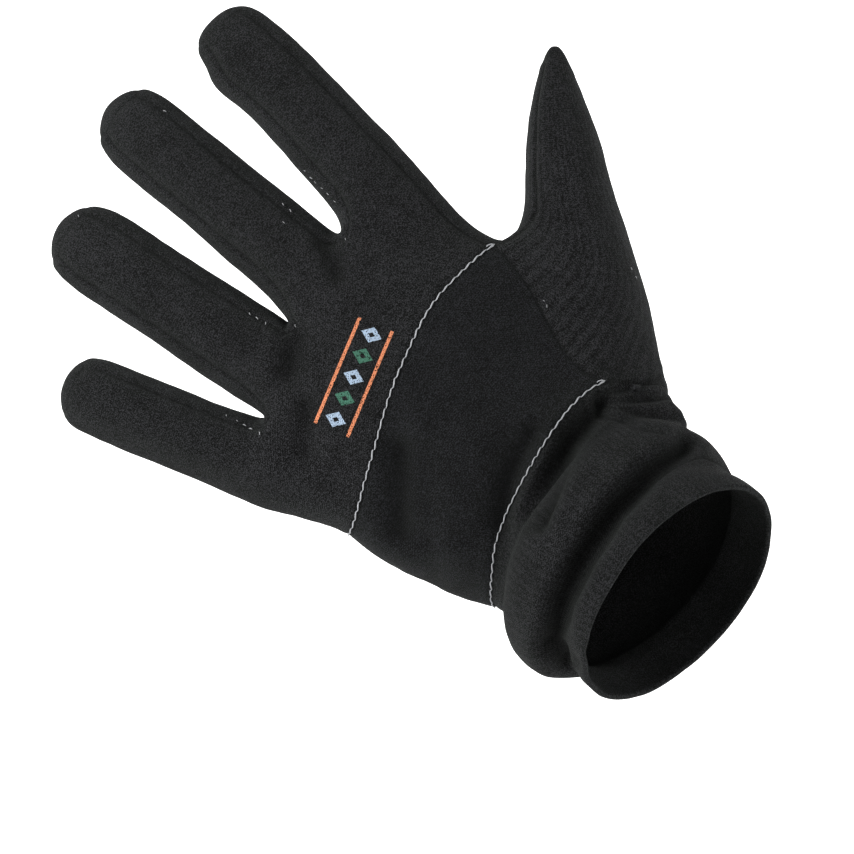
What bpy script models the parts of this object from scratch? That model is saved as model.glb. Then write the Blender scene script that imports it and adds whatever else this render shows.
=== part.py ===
"""A thin knitted glove liner for the left hand, in the shape it has when it is worn.

Metres. The origin is the middle of the cuff's mouth. +Z runs along the hand to the
fingertips, +X is the thumb side and -Y is the way the back of the hand faces. The cuff
leans towards the back of the hand, as it does when the palm is pressed on a table.

The whole glove is one smooth skin, made from a cage of quads. The skin is then cut along
its seams into the panels it is sewn from, and each panel is given the knit's thickness.
"""

import math
from collections import namedtuple

import bmesh
import bpy
from mathutils import Vector
from mathutils.geometry import intersect_point_line

# The knit and its seams
WALL = 0.0018
SEAM_GAP = 0.0003

# The cuff, measured along the middle of the arm
CUFF_LENGTH = 0.055
CUFF_LEAN = math.radians(46)
CUFF_STRAIGHT = 0.041
WRIST_BEND_RADIUS = 0.040
CUFF_HALF_WIDTH = 0.0368
CUFF_HALF_DEPTH = 0.0285

# The hand
PALM_LENGTH = 0.1028
ULNAR_REACH = 0.0605
HEEL_HALF_DEPTH = 0.0225
KNUCKLE_HALF_DEPTH = 0.0118
WRIST_EDGE_INSET = 0.0100
KNUCKLE_EDGE_INSET = 0.0050

# The fingers, by name: spacing at the knuckles, finger width and depth, length past the
# knuckles, lean towards the thumb in degrees, and how far to the thumb side of the middle
# of its knuckle each one stands
Finger = namedtuple("Finger", "name spacing width depth length lean aside")
FINGERS = (
    Finger("little", 0.0225, 0.0238, 0.0215, 0.0660, -17.0, -0.0010),
    Finger("ring", 0.0252, 0.0270, 0.0232, 0.0807, -5.9, 0.0000),
    Finger("middle", 0.0302, 0.0262, 0.0236, 0.0828, 0.7, 0.0010),
    Finger("index", 0.0294, 0.0262, 0.0232, 0.0785, 9.1, 0.0017),
)
FINGER_DROOP = 0.005

# The thumb, measured from the middle of its root, which lies this share of the hand's
# reach out to the thumb side and this share of the palm's length up
THUMB_LENGTH = 0.0775
THUMB_HALF_WIDTH = 0.0196
THUMB_HALF_DEPTH = 0.0160
THUMB_SPREAD = math.radians(45.3)
THUMB_ROOT_OUT = 0.983
THUMB_ROOT_UP = 0.339
THUMB_TOWARDS_PALM = 0.005

# How square a section is: where its corner points stand, as a share of its half sizes
CORNER_WIDE = 0.74
CORNER_DEEP = 0.78

# Along the cuff, as shares of its length and of its half width and half depth
CuffRow = namedtuple("CuffRow", "along ulnar radial dorsal palmar")
CUFF_ROWS = (
    CuffRow(0.00, 1.088, 0.950, 0.923, 0.960),
    CuffRow(0.11, 1.085, 0.962, 0.955, 0.985),
    CuffRow(0.21, 0.990, 0.925, 0.930, 0.950),
    CuffRow(0.29, 1.080, 0.930, 0.820, 0.920),
    CuffRow(0.38, 1.250, 1.000, 1.010, 0.985),
    CuffRow(0.50, 1.275, 1.035, 1.110, 1.030),
    CuffRow(0.62, 1.265, 1.030, 1.040, 1.000),
    CuffRow(0.71, 1.170, 0.935, 0.900, 0.950),
    CuffRow(0.81, 1.040, 1.040, 0.780, 0.890),
    CuffRow(0.91, 1.080, 1.140, 0.770, 0.860),
)
HEM_ROWS = 3

# Across the hand, ulnar edge to thumb side, as shares of the palm's length: where the
# seam of the cuff, the line of stitches behind the knuckles and the finger crotches lie
HandLine = namedtuple("HandLine", "ulnar_edge ulnar ring middle index radial radial_edge")
CUFF_SEAM_BACK = HandLine(-0.050, -0.050, 0.045, 0.100, 0.160, 0.130, -0.060)
CUFF_SEAM_PALM = HandLine(-0.050, -0.040, -0.030, -0.020, -0.020, -0.030, -0.060)
KNUCKLE_STITCH = HandLine(0.445, 0.449, 0.529, 0.617, 0.681, 0.660, 0.555)
CROTCHES = HandLine(0.675, 0.675, 0.831, 0.946, 1.000, 0.889, 0.889)

# From the cuff's seam to the crotches: how far up towards the next line, the reach to each
# side as shares of the hand's reach there, how far the first and last points of the back
# stand in from the edges as a share of the inset at the wrist, and the depth to each side
HandRow = namedtuple("HandRow", "up ulnar radial inset dorsal palmar")
SEAM_TO_STITCH = (
    HandRow(0.00, 0.690, 0.950, 1.00, 0.98, 1.04),
    HandRow(0.25, 0.795, 0.850, 0.90, 0.97, 1.02),
    HandRow(0.50, 0.820, 0.900, 0.60, 0.90, 0.95),
    HandRow(0.75, 0.860, 0.980, 0.40, 0.81, 0.85),
)
STITCH_TO_CROTCH = (
    HandRow(0.00, 0.855, 1.035, 0.45, 0.73, 0.76),
    HandRow(0.33, 0.902, 0.975, 0.30, 0.66, 0.68),
    HandRow(0.67, 0.957, 0.980, 0.30, 0.60, 0.61),
)

# Along a finger, as shares of its length, half width and half depth. The index finger's
# tip is too long for the hand in it, and folds over towards the middle finger.
FingerRow = namedtuple("FingerRow", "along ulnar radial deep")
FINGER_ROWS = (
    FingerRow(0.10, 1.03, 1.03, 0.98),
    FingerRow(0.28, 1.00, 1.00, 0.93),
    FingerRow(0.48, 0.98, 0.98, 0.88),
    FingerRow(0.68, 0.99, 0.99, 0.84),
    FingerRow(0.86, 1.00, 1.00, 0.75),
    FingerRow(0.955, 0.80, 0.80, 0.56),
)
INDEX_ROWS = (
    FingerRow(0.10, 1.03, 1.10, 0.98),
    FingerRow(0.28, 1.02, 1.02, 0.93),
    FingerRow(0.48, 0.99, 0.99, 0.88),
    FingerRow(0.67, 1.02, 0.96, 0.84),
    FingerRow(0.79, 1.26, 0.86, 0.80),
    FingerRow(0.87, 1.00, 0.81, 0.72),
    FingerRow(0.965, 0.95, 0.66, 0.56),
)

# Dents in the back of the hand, each a soft furrow between two places given as shares of
# the hand's width from the ulnar edge and of the palm's length, with its depth and half
# width as shares of the hand's half depth at the heel
Dent = namedtuple("Dent", "across_from up_from across_to up_to deep wide")
DENTS = (
    Dent(0.685, 1.000, 0.638, 0.940, 0.07, 0.20),
    Dent(0.433, 0.910, 0.331, 0.860, 0.07, 0.20),
    Dent(0.294, 0.766, 0.196, 0.689, 0.05, 0.22),
    Dent(0.368, 0.476, 0.191, 0.329, 0.07, 0.20),
    Dent(0.564, 0.235, 0.377, 0.130, 0.06, 0.22),
)

# Along the thumb, as shares of its length, half width and half depth, at the side
# towards the index finger (web) and at the outer side
ThumbRow = namedtuple("ThumbRow", "web_along web outer_along outer deep")
THUMB_ROWS = (
    ThumbRow(0.380, 0.690, -0.110, 1.175, 1.02),
    ThumbRow(0.460, 0.620, 0.129, 0.985, 0.86),
    ThumbRow(0.565, 0.580, 0.348, 0.806, 0.77),
    ThumbRow(0.684, 0.500, 0.555, 0.643, 0.72),
    ThumbRow(0.800, 0.400, 0.723, 0.520, 0.64),
    ThumbRow(0.903, 0.260, 0.852, 0.360, 0.50),
    ThumbRow(0.961, 0.150, 0.929, 0.255, 0.34),
)
THUMB_SPREAD_POINTS = (CORNER_WIDE + 0.1, 0.45, 0.0, -0.45, -CORNER_WIDE - 0.1)
THUMB_ARCH = (0.66, 0.97, 1.04, 0.97, 0.66)

# The panels, each with its colour, roughness and metallic value
BLACK_KNIT = ((0.016, 0.016, 0.018, 1.0), 0.92, 0.0)
RIB_KNIT = ((0.012, 0.012, 0.014, 1.0), 0.95, 0.0)
Panel = namedtuple("Panel", "name finish")
PANELS = (
    Panel("cuff_hem", RIB_KNIT),
    Panel("cuff", RIB_KNIT),
    Panel("back_of_hand", BLACK_KNIT),
    Panel("back_of_fingers", BLACK_KNIT),
    Panel("palm", BLACK_KNIT),
    Panel("thumb_back", BLACK_KNIT),
    Panel("thumb_front", BLACK_KNIT),
    Panel("side_strip_ring_little", BLACK_KNIT),
    Panel("side_strip_middle_ring", BLACK_KNIT),
    Panel("side_strip_index_middle", BLACK_KNIT),
)
PANEL_NUMBER = {panel.name: number for number, panel in enumerate(PANELS)}
SIDE_STRIPS = ("side_strip_ring_little", "side_strip_middle_ring", "side_strip_index_middle")

# Points of a ring round the hand: 9 over the back from the ulnar edge, 1 at the thumb
# side, 9 over the palm back again and 1 at the ulnar edge
BACK_POINTS = 9
RADIAL_POINT = 9
ULNAR_POINT = 19
RING_POINTS = 20


def between(a, b, share):
    """The value that lies this share of the way from a to b."""
    return a + (b - a) * share


def mid_reach(corner):
    """Where the point between two corners stands, so that the smooth skin passes through 1."""
    return (3 - corner) / 2


def arm_line(s):
    """(centre, direction of the back) at a distance s along the middle of arm and hand."""
    turned = min(max((s - CUFF_STRAIGHT) / WRIST_BEND_RADIUS, 0), CUFF_LEAN)
    lean = CUFF_LEAN - turned
    straight = min(s, CUFF_STRAIGHT)
    beyond = max(s - CUFF_STRAIGHT - CUFF_LEAN * WRIST_BEND_RADIUS, 0)
    y = straight * math.sin(CUFF_LEAN) + WRIST_BEND_RADIUS * (math.cos(lean) - math.cos(CUFF_LEAN))
    z = straight * math.cos(CUFF_LEAN) + WRIST_BEND_RADIUS * (math.sin(CUFF_LEAN) - math.sin(lean))
    return Vector((0, y, z + beyond)), Vector((0, -math.cos(lean), math.sin(lean)))


def skin_point(x, s, height):
    """The point at x across, s along and this height towards the back of the hand."""
    centre, back = arm_line(s)
    return centre + Vector((x, 0, 0)) + back * height


def knuckle_bounds():
    """x of the ulnar edge, the three crotches and the thumb side, at the knuckles."""
    bounds = [-ULNAR_REACH]
    for finger in FINGERS:
        bounds.append(bounds[-1] + finger.spacing)
    return bounds


def across_shares():
    """Where the nine points over the back stand, from 0 at the ulnar edge to 1."""
    bounds = knuckle_bounds()
    whole = bounds[-1] - bounds[0]
    shares = []
    for low, high in zip(bounds, bounds[1:]):
        shares += [(low - bounds[0]) / whole, ((low + high) / 2 - bounds[0]) / whole]
    return shares + [1.0]


def spread_line(line):
    """How far up each point of half a ring lies: nine over the hand, between the edges."""
    inner = line[1:-1]
    values = []
    for low, high in zip(inner, inner[1:]):
        values += [low, (low + high) / 2]
    return values + [inner[-1]]


def ring_line(back_line, palm_line):
    """How far up each of the twenty points of a ring lies, as shares of the palm's length."""
    radial = (back_line.radial_edge + palm_line.radial_edge) / 2
    ulnar = (back_line.ulnar_edge + palm_line.ulnar_edge) / 2
    return spread_line(back_line) + [radial] + spread_line(palm_line)[::-1] + [ulnar]


def blend_lines(a, b, share):
    """The line that lies this share of the way from line a to line b."""
    return HandLine(*(between(p, q, share) for p, q in zip(a, b)))


def arch(share):
    """Height of the back over the hand's width, from 0 to 1, flat in the middle."""
    return (1 - abs(2 * share - 1) ** 2.6) ** (1 / 2.6)


def cuff_ring(row):
    """The ring of points at one row of the cuff, which slants more the nearer the hand."""
    tight = 3 / (2 + math.cos(2 * math.pi / RING_POINTS))
    ring = []
    for j, slant in enumerate(ring_line(CUFF_SEAM_BACK, CUFF_SEAM_PALM)):
        s = row.along * CUFF_LENGTH + slant * PALM_LENGTH * row.along ** 3
        angle = math.pi - 2 * math.pi * (j + 1) / RING_POINTS
        side = row.ulnar if math.cos(angle) < 0 else row.radial
        depth = row.dorsal if math.sin(angle) > 0 else row.palmar
        x = CUFF_HALF_WIDTH * side * tight * math.cos(angle)
        height = CUFF_HALF_DEPTH * depth * tight * math.sin(angle)
        ring.append(skin_point(x, s, height))
    return ring


def hand_ring(row, back_line, palm_line):
    """The ring of points at one row of the hand, on two lines given as palm shares."""
    low, high = -ULNAR_REACH * row.ulnar, knuckle_bounds()[-1] * row.radial
    inset = WRIST_EDGE_INSET * row.inset
    across = [between(low + inset, high - inset, share) for share in across_shares()]
    arches = [HEEL_HALF_DEPTH * arch(between(0.06, 0.94, share)) for share in across_shares()]
    x = across + [high] + across[::-1] + [low]
    heights = [h * row.dorsal for h in arches] + [0] + [-h * row.palmar for h in arches[::-1]] + [0]
    line = ring_line(back_line, palm_line)
    return [skin_point(*place) for place in zip(x, along_hand(line), heights)]


def knuckle_ring():
    """The ring at the finger crotches, pinched between the fingers."""
    bounds = knuckle_bounds()
    inset = KNUCKLE_EDGE_INSET
    across = [between(bounds[0], bounds[-1], share) for share in across_shares()]
    across[0] += inset / 2
    across[-1] -= inset / 2
    corner, middle = CORNER_DEEP, mid_reach(CORNER_DEEP)
    high = [KNUCKLE_HALF_DEPTH * (middle if j % 2 else corner) for j in range(BACK_POINTS)]
    x = across + [bounds[-1] + inset / 4] + across[::-1] + [bounds[0] - inset / 4]
    heights = high + [0] + [-h for h in high] + [0]
    return [skin_point(*place) for place in zip(x, along_hand(ring_line(CROTCHES, CROTCHES)), heights)]


def along_hand(shares):
    """Distances along the arm and hand of these shares of the palm's length."""
    return [CUFF_LENGTH + PALM_LENGTH * share for share in shares]


class Cage:
    """Points and four-sided faces, each face with the number of its panel."""

    def __init__(self):
        self.points = []
        self.faces = []
        self.panels = []

    def ring(self, points):
        first = len(self.points)
        self.points += points
        return list(range(first, len(self.points)))

    def face(self, corners, panel):
        self.faces.append(corners)
        self.panels.append(PANEL_NUMBER[panel])

    def wall(self, low, high, panels):
        """Faces between two rings, with the panel of each, or None to leave a hole."""
        for j, panel in enumerate(panels):
            k = (j + 1) % len(low)
            if panel:
                self.face((low[j], low[k], high[k], high[j]), panel)


def finger_panels(number):
    """The panels round a finger: two faces each for the back, the thumb side, the palm
    and the ulnar side."""
    radial = [SIDE_STRIPS[number]] * 2 if number < len(SIDE_STRIPS) else ["palm"] * 2
    ulnar = [SIDE_STRIPS[number - 1]] * 2 if number > 0 else ["palm", "back_of_fingers"]
    return ["back_of_fingers"] * 2 + radial + ["palm"] * 2 + ulnar


def finger_point(finger, root, along, x, height):
    """A point of a finger, by its distance past the knuckles, across and up."""
    lean = math.radians(finger.lean)
    droop = FINGER_DROOP * (along / finger.length) ** 2
    out = Vector((math.sin(lean), 0, math.cos(lean)))
    side = Vector((math.cos(lean), 0, -math.sin(lean)))
    return root + out * along + side * x + Vector((0, droop - height, 0))


def add_finger(cage, number, root_ring):
    """A finger's rings and its closed tip, on eight points of the knuckle ring."""
    finger = FINGERS[number]
    rows = INDEX_ROWS if finger.name == "index" else FINGER_ROWS
    bounds = knuckle_bounds()
    share = (CROTCHES[number + 1] + CROTCHES[number + 2]) / 2
    middle = (bounds[number] + bounds[number + 1]) / 2 + finger.aside
    root = skin_point(middle, CUFF_LENGTH + PALM_LENGTH * share, 0)
    wide, deep = mid_reach(CORNER_WIDE), mid_reach(CORNER_DEEP)
    outline = (
        (-CORNER_WIDE, CORNER_DEEP), (0, deep), (CORNER_WIDE, CORNER_DEEP), (wide, 0),
        (CORNER_WIDE, -CORNER_DEEP), (0, -deep), (-CORNER_WIDE, -CORNER_DEEP), (-wide, 0),
    )
    ring = root_ring
    for row in rows:
        points = []
        for x, height in outline:
            wide = finger.width / 2 * (row.radial if x > 0 else row.ulnar)
            shift = finger.width / 4 * (row.radial - row.ulnar) * (x == 0)
            place = (row.along * finger.length, wide * x + shift, finger.depth / 2 * row.deep * height)
            points.append(finger_point(finger, root, *place))
        above = cage.ring(points)
        cage.wall(ring, above, finger_panels(number))
        ring = above
    last = rows[-1]
    tip_along = finger.length * (1 + 1.25 * (1 - last.along))
    aside = finger.width / 4 * (last.radial - last.ulnar)
    tip = cage.ring([finger_point(finger, root, tip_along, aside, 0)])[0]
    for corners in ((0, 1, tip, 7), (1, 2, 3, tip), (tip, 3, 4, 5), (7, tip, 5, 6)):
        cage.face(tuple(ring[c] if c < 8 else c for c in corners), "palm")


def thumb_point(along, across, height):
    """A point of the thumb, by its distance out from the root, across and up."""
    out = Vector((math.sin(THUMB_SPREAD), 0, math.cos(THUMB_SPREAD)))
    outer = Vector((math.cos(THUMB_SPREAD), 0, -math.sin(THUMB_SPREAD)))
    root_s = CUFF_LENGTH + PALM_LENGTH * THUMB_ROOT_UP
    root = skin_point(THUMB_ROOT_OUT * knuckle_bounds()[-1], root_s, 0)
    return root + out * along + outer * across + Vector((0, THUMB_TOWARDS_PALM - height, 0))


def thumb_ring(row):
    """Five points over the back from the web outwards, the outer side, five points over
    the palm side and the web side."""
    def at(share, height):
        """share is 1 at the web edge and -1 at the outer edge."""
        along = between(row.outer_along, row.web_along, (share + 1) / 2) * THUMB_LENGTH
        across = between(row.outer, -row.web, (share + 1) / 2) * THUMB_HALF_WIDTH
        return thumb_point(along, across, height * row.deep * THUMB_HALF_DEPTH)

    edge = mid_reach(THUMB_SPREAD_POINTS[0])
    back = [at(share, high) for share, high in zip(THUMB_SPREAD_POINTS, THUMB_ARCH)]
    front = [at(share, -high) for share, high in zip(THUMB_SPREAD_POINTS, THUMB_ARCH)]
    return back + [at(-edge, 0)] + front[::-1] + [at(edge, 0)]


def add_thumb(cage, root_ring):
    """The thumb's rings and its closed tip, on the twelve points round the thumb hole."""
    panels = ["thumb_back"] * 6 + ["thumb_front"] * 6
    ring = root_ring
    for row in THUMB_ROWS:
        above = cage.ring(thumb_ring(row))
        cage.wall(ring, above, panels)
        ring = above
    last = THUMB_ROWS[-1]
    rest = 1 - (last.web_along + last.outer_along) / 2
    middle = (last.outer - last.web) / 2 * THUMB_HALF_WIDTH
    half = (last.outer + last.web) / 2 * THUMB_HALF_WIDTH
    tip = cage.ring([
        thumb_point(THUMB_LENGTH * (1 + 0.9 * rest), middle - share * half * 0.8, 0)
        for share in THUMB_SPREAD_POINTS[1:4]
    ])
    for j in range(4):
        inner = ([ring[11]] + tip + [ring[5]])[j:j + 2]
        cage.face((ring[j], ring[j + 1], inner[1], inner[0]), "thumb_back")
        cage.face((inner[0], inner[1], ring[9 - j], ring[10 - j]), "thumb_front")


def glove_cage():
    """The cage of the whole glove."""
    cage = Cage()
    cuff_rings = [cage.ring(cuff_ring(row)) for row in CUFF_ROWS]
    hand_rings = []
    for row in SEAM_TO_STITCH:
        back = blend_lines(CUFF_SEAM_BACK, KNUCKLE_STITCH, row.up)
        palm = blend_lines(CUFF_SEAM_PALM, KNUCKLE_STITCH, row.up)
        hand_rings.append(cage.ring(hand_ring(row, back, palm)))
    for row in STITCH_TO_CROTCH:
        line = blend_lines(KNUCKLE_STITCH, CROTCHES, row.up)
        hand_rings.append(cage.ring(hand_ring(row, line, line)))
    hand_rings.append(cage.ring(knuckle_ring()))

    # Two faces at the thumb side are left out from the cuff's seam to the stitches
    stitch = len(SEAM_TO_STITCH)
    thumb_hole = hand_rings[:stitch + 1]
    for number, (low, high) in enumerate(zip(cuff_rings, cuff_rings[1:] + hand_rings[:1])):
        cage.wall(low, high, ["cuff_hem" if number < HEM_ROWS else "cuff"] * RING_POINTS)
    for number, (low, high) in enumerate(zip(hand_rings, hand_rings[1:])):
        back = "back_of_hand" if number < stitch else "back_of_fingers"
        side = None if number < stitch else "palm"
        cage.wall(low, high, [back] * 8 + [side] * 2 + ["palm"] * 9 + [back])

    top = hand_rings[-1]
    crotch_points = cage.ring([
        (cage.points[top[2 * k]] + cage.points[top[RING_POINTS - 2 - 2 * k]]) / 2 for k in (1, 2, 3)
    ])
    sides = [top[ULNAR_POINT]] + crotch_points + [top[RADIAL_POINT]]
    for number in range(len(FINGERS)):
        first = 2 * number
        back = top[first:first + 3]
        palm = [top[RING_POINTS - 2 - k] for k in (first + 2, first + 1, first)]
        add_finger(cage, number, back + [sides[number + 1]] + palm + [sides[number]])

    back_side = [ring[BACK_POINTS - 1] for ring in thumb_hole]
    palm_side = [ring[RADIAL_POINT + 1] for ring in thumb_hole]
    lower, upper = thumb_hole[0][RADIAL_POINT], thumb_hole[-1][RADIAL_POINT]
    add_thumb(cage, back_side[::-1] + [lower] + palm_side + [upper])
    return cage


def smooth_skin(cage):
    """The cage as one smooth mesh, each face with its panel's number as material index."""
    mesh = bpy.data.meshes.new("skin")
    mesh.from_pydata([tuple(p) for p in cage.points], [], cage.faces)
    mesh.polygons.foreach_set("material_index", cage.panels)
    holder = bpy.data.objects.new("skin", mesh)
    bpy.context.scene.collection.objects.link(holder)
    smooth = holder.modifiers.new("smooth", "SUBSURF")
    smooth.levels = 1
    smooth.render_levels = 1
    graph = bpy.context.evaluated_depsgraph_get()
    skin = bpy.data.meshes.new_from_object(holder.evaluated_get(graph))
    bpy.data.objects.remove(holder)
    bpy.data.meshes.remove(mesh)
    return skin


def press_dents(skin):
    """The skin with its dents pressed into the back of the hand."""
    low, high = knuckle_bounds()[0], knuckle_bounds()[-1]
    moves = {}
    for dent in DENTS:
        ends = []
        for across, up in ((dent.across_from, dent.up_from), (dent.across_to, dent.up_to)):
            ends.append(skin_point(between(low, high, across), CUFF_LENGTH + PALM_LENGTH * up, 0).xz)
        wide = dent.wide * HEEL_HALF_DEPTH
        for vert in skin.verts:
            nearest, share = intersect_point_line(vert.co.xz, *ends)
            nearest = between(*ends, min(max(share, 0), 1))
            distance = (vert.co.xz - nearest).length
            if distance < 3 * wide and vert.normal.y < 0:
                press = dent.deep * HEEL_HALF_DEPTH * math.exp(-(distance / wide) ** 2)
                moves[vert] = moves.get(vert, 0) + press * vert.normal.y ** 2
    for vert, press in moves.items():
        vert.co -= vert.normal * press
    skin.normal_update()


def inward_step(vert, faces):
    """The direction in the skin that leads from a panel's border into the panel."""
    step = Vector((0, 0, 0))
    for edge in vert.link_edges:
        inside = [face for face in edge.link_faces if face in faces]
        if len(inside) == 1:
            along = (edge.verts[1].co - edge.verts[0].co).normalized()
            to_face = inside[0].calc_center_median() - vert.co
            step += (to_face - along * to_face.dot(along)).normalized()
    step -= vert.normal * step.dot(vert.normal)
    return step.normalized() if step.length > 1e-6 else step


def rim_triangles(a, b, outer, inner):
    """The rim between a and b as two triangles, split the same way on both sides of a seam."""
    if a.index < b.index:
        return (outer[b], outer[a], inner[b]), (outer[a], inner[a], inner[b])
    return (outer[b], outer[a], inner[a]), (outer[b], inner[a], inner[b])


def panel_solid(skin, panel, material):
    """One panel of the skin as a solid of the knit's thickness, half a gap from its seams."""
    number = PANEL_NUMBER[panel.name]
    faces = {face for face in skin.faces if face.material_index == number}
    verts = list({vert for face in faces for vert in face.verts})
    verts.sort(key=lambda vert: vert.index)
    solid = bmesh.new()
    outer, inner = {}, {}
    for vert in verts:
        place = vert.co.copy()
        if any(face not in faces for face in vert.link_faces):
            place += inward_step(vert, faces) * SEAM_GAP / 2
        outer[vert] = solid.verts.new(place)
        inner[vert] = solid.verts.new(place - vert.normal * WALL)
    for face in sorted(faces, key=lambda face: face.index):
        solid.faces.new([outer[vert] for vert in face.verts])
        solid.faces.new([inner[vert] for vert in reversed(face.verts)])
        for loop in face.loops:
            shared = [other for other in loop.edge.link_faces if other in faces]
            if len(shared) == 1:
                a, b = loop.vert, loop.link_loop_next.vert
                for corners in rim_triangles(a, b, outer, inner):
                    solid.faces.new(corners)
    mesh = bpy.data.meshes.new(panel.name)
    solid.to_mesh(mesh)
    solid.free()
    mesh.shade_smooth()
    mesh.set_sharp_from_angle(angle=math.radians(50))
    mesh.materials.append(material)
    piece = bpy.data.objects.new(panel.name, mesh)
    bpy.context.scene.collection.objects.link(piece)
    return piece


def knit_material(panel):
    """A matt material of the panel's colour."""
    colour, roughness, metallic = panel.finish
    material = bpy.data.materials.new(panel.name)
    material.use_nodes = True
    shader = material.node_tree.nodes["Principled BSDF"]
    shader.inputs["Base Color"].default_value = colour
    shader.inputs["Roughness"].default_value = roughness
    shader.inputs["Metallic"].default_value = metallic
    return material


def main():
    for old in list(bpy.data.objects):
        bpy.data.objects.remove(old)
    mesh = smooth_skin(glove_cage())
    skin = bmesh.new()
    skin.from_mesh(mesh)
    skin.normal_update()
    press_dents(skin)
    for panel in PANELS:
        panel_solid(skin, panel, knit_material(panel))
    skin.free()
    bpy.data.meshes.remove(mesh)


if __name__ == "__main__":
    main()
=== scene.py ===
"""A knitted glove liner for the left hand, dressed on its CAD frame.

Metres, in the frame's own axes: the origin is the middle of the cuff's mouth, +Z runs
along the hand to the fingertips, +X is the thumb side and the back of the hand faces -Y.
The cage of the glove is the one that the panels of the frame were cut from. Here it is
smoothed much finer, folded and puckered along its seams, and cut into the same panels.
"""

import math
from collections import namedtuple

import bmesh
import bpy
import numpy as np
from mathutils import Matrix, Vector, noise
from mathutils.kdtree import KDTree


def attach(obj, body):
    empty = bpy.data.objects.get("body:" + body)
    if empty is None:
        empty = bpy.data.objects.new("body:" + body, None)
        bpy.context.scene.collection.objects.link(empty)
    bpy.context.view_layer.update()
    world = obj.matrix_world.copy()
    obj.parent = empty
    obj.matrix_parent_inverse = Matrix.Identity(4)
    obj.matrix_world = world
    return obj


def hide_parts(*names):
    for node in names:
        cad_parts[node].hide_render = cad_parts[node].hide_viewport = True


bl_info = {
    "name": "Glove Liner",
    "version": (1, 0, 0),
    "blender": (4, 5, 0),
    "location": "View3D > Sidebar > Glove Liner",
    "description": "Dresses the panels of a knitted glove liner with knit, seams and thread",
    "category": "Object",
}

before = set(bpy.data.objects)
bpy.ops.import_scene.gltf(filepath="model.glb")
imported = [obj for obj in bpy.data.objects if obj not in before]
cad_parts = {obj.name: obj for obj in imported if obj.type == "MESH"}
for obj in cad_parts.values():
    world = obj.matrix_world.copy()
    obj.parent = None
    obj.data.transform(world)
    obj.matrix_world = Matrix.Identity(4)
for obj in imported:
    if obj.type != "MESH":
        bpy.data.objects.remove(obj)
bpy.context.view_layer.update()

# The knit: its thickness, and how far two panels stand back from the seam between them
WALL = 0.0018
SEAM_GAP = 0.00004

# The cuff, measured along its middle line
CUFF_LENGTH = 0.055
CUFF_LEAN = math.radians(46)
CUFF_STRAIGHT = 0.041
WRIST_BEND_RADIUS = 0.040
CUFF_HALF_WIDTH = 0.0368
CUFF_HALF_DEPTH = 0.0285

# The hand
PALM_LENGTH = 0.1028
ULNAR_REACH = 0.0605
HEEL_HALF_DEPTH = 0.0225
KNUCKLE_HALF_DEPTH = 0.0118
WRIST_EDGE_INSET = 0.0100
KNUCKLE_EDGE_INSET = 0.0050

# The fingers, by name: spacing at the knuckles, finger width and depth, length past the
# knuckles, lean towards the thumb in degrees, and how far to the thumb side of the middle
# of its knuckle each one stands
Finger = namedtuple("Finger", "name spacing width depth length lean aside")
FINGERS = (
    Finger("little", 0.0225, 0.0238, 0.0215, 0.0660, -17.0, -0.0010),
    Finger("ring", 0.0252, 0.0270, 0.0232, 0.0807, -5.9, 0.0000),
    Finger("middle", 0.0302, 0.0262, 0.0236, 0.0828, 0.7, 0.0010),
    Finger("index", 0.0294, 0.0262, 0.0232, 0.0785, 9.1, 0.0017),
)
FINGER_DROOP = 0.005
FINGER_TIP_REACH = 1.25

# The thumb, measured from the middle of its root, which lies this share of the hand's
# reach out to the thumb side and this share of the palm's length up
THUMB_LENGTH = 0.0775
THUMB_HALF_WIDTH = 0.0196
THUMB_HALF_DEPTH = 0.0160
THUMB_SPREAD = math.radians(45.3)
THUMB_ROOT_OUT = 0.983
THUMB_ROOT_UP = 0.339
THUMB_TOWARDS_PALM = 0.005
THUMB_TIP_REACH = 0.9
THUMB_TIP_SPREAD = 0.8

# How square a section is: where its corner points stand, as a share of its half sizes
CORNER_WIDE = 0.74
CORNER_DEEP = 0.78

# Along the cuff, as shares of its length and of its half width and half depth
CuffRow = namedtuple("CuffRow", "along ulnar radial dorsal palmar")
CUFF_ROWS = (
    CuffRow(0.00, 1.088, 0.950, 0.923, 0.960),
    CuffRow(0.11, 1.085, 0.962, 0.955, 0.985),
    CuffRow(0.21, 0.990, 0.925, 0.930, 0.950),
    CuffRow(0.29, 1.080, 0.930, 0.820, 0.920),
    CuffRow(0.38, 1.250, 1.000, 1.010, 0.985),
    CuffRow(0.50, 1.275, 1.035, 1.110, 1.030),
    CuffRow(0.62, 1.265, 1.030, 1.040, 1.000),
    CuffRow(0.71, 1.170, 0.935, 0.900, 0.950),
    CuffRow(0.81, 1.040, 1.040, 0.780, 0.890),
    CuffRow(0.91, 1.080, 1.140, 0.770, 0.860),
)
HEM_ROWS = 3

# Across the hand, ulnar edge to thumb side, as shares of the palm's length: where the
# seam of the cuff, the line of stitches behind the knuckles and the finger crotches lie
HandLine = namedtuple("HandLine", "ulnar_edge ulnar ring middle index radial radial_edge")
CUFF_SEAM_BACK = HandLine(-0.050, -0.050, 0.045, 0.100, 0.160, 0.130, -0.060)
CUFF_SEAM_PALM = HandLine(-0.050, -0.040, -0.030, -0.020, -0.020, -0.030, -0.060)
KNUCKLE_STITCH = HandLine(0.445, 0.449, 0.529, 0.617, 0.681, 0.660, 0.555)
CROTCHES = HandLine(0.675, 0.675, 0.831, 0.946, 1.000, 0.889, 0.889)

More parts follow.
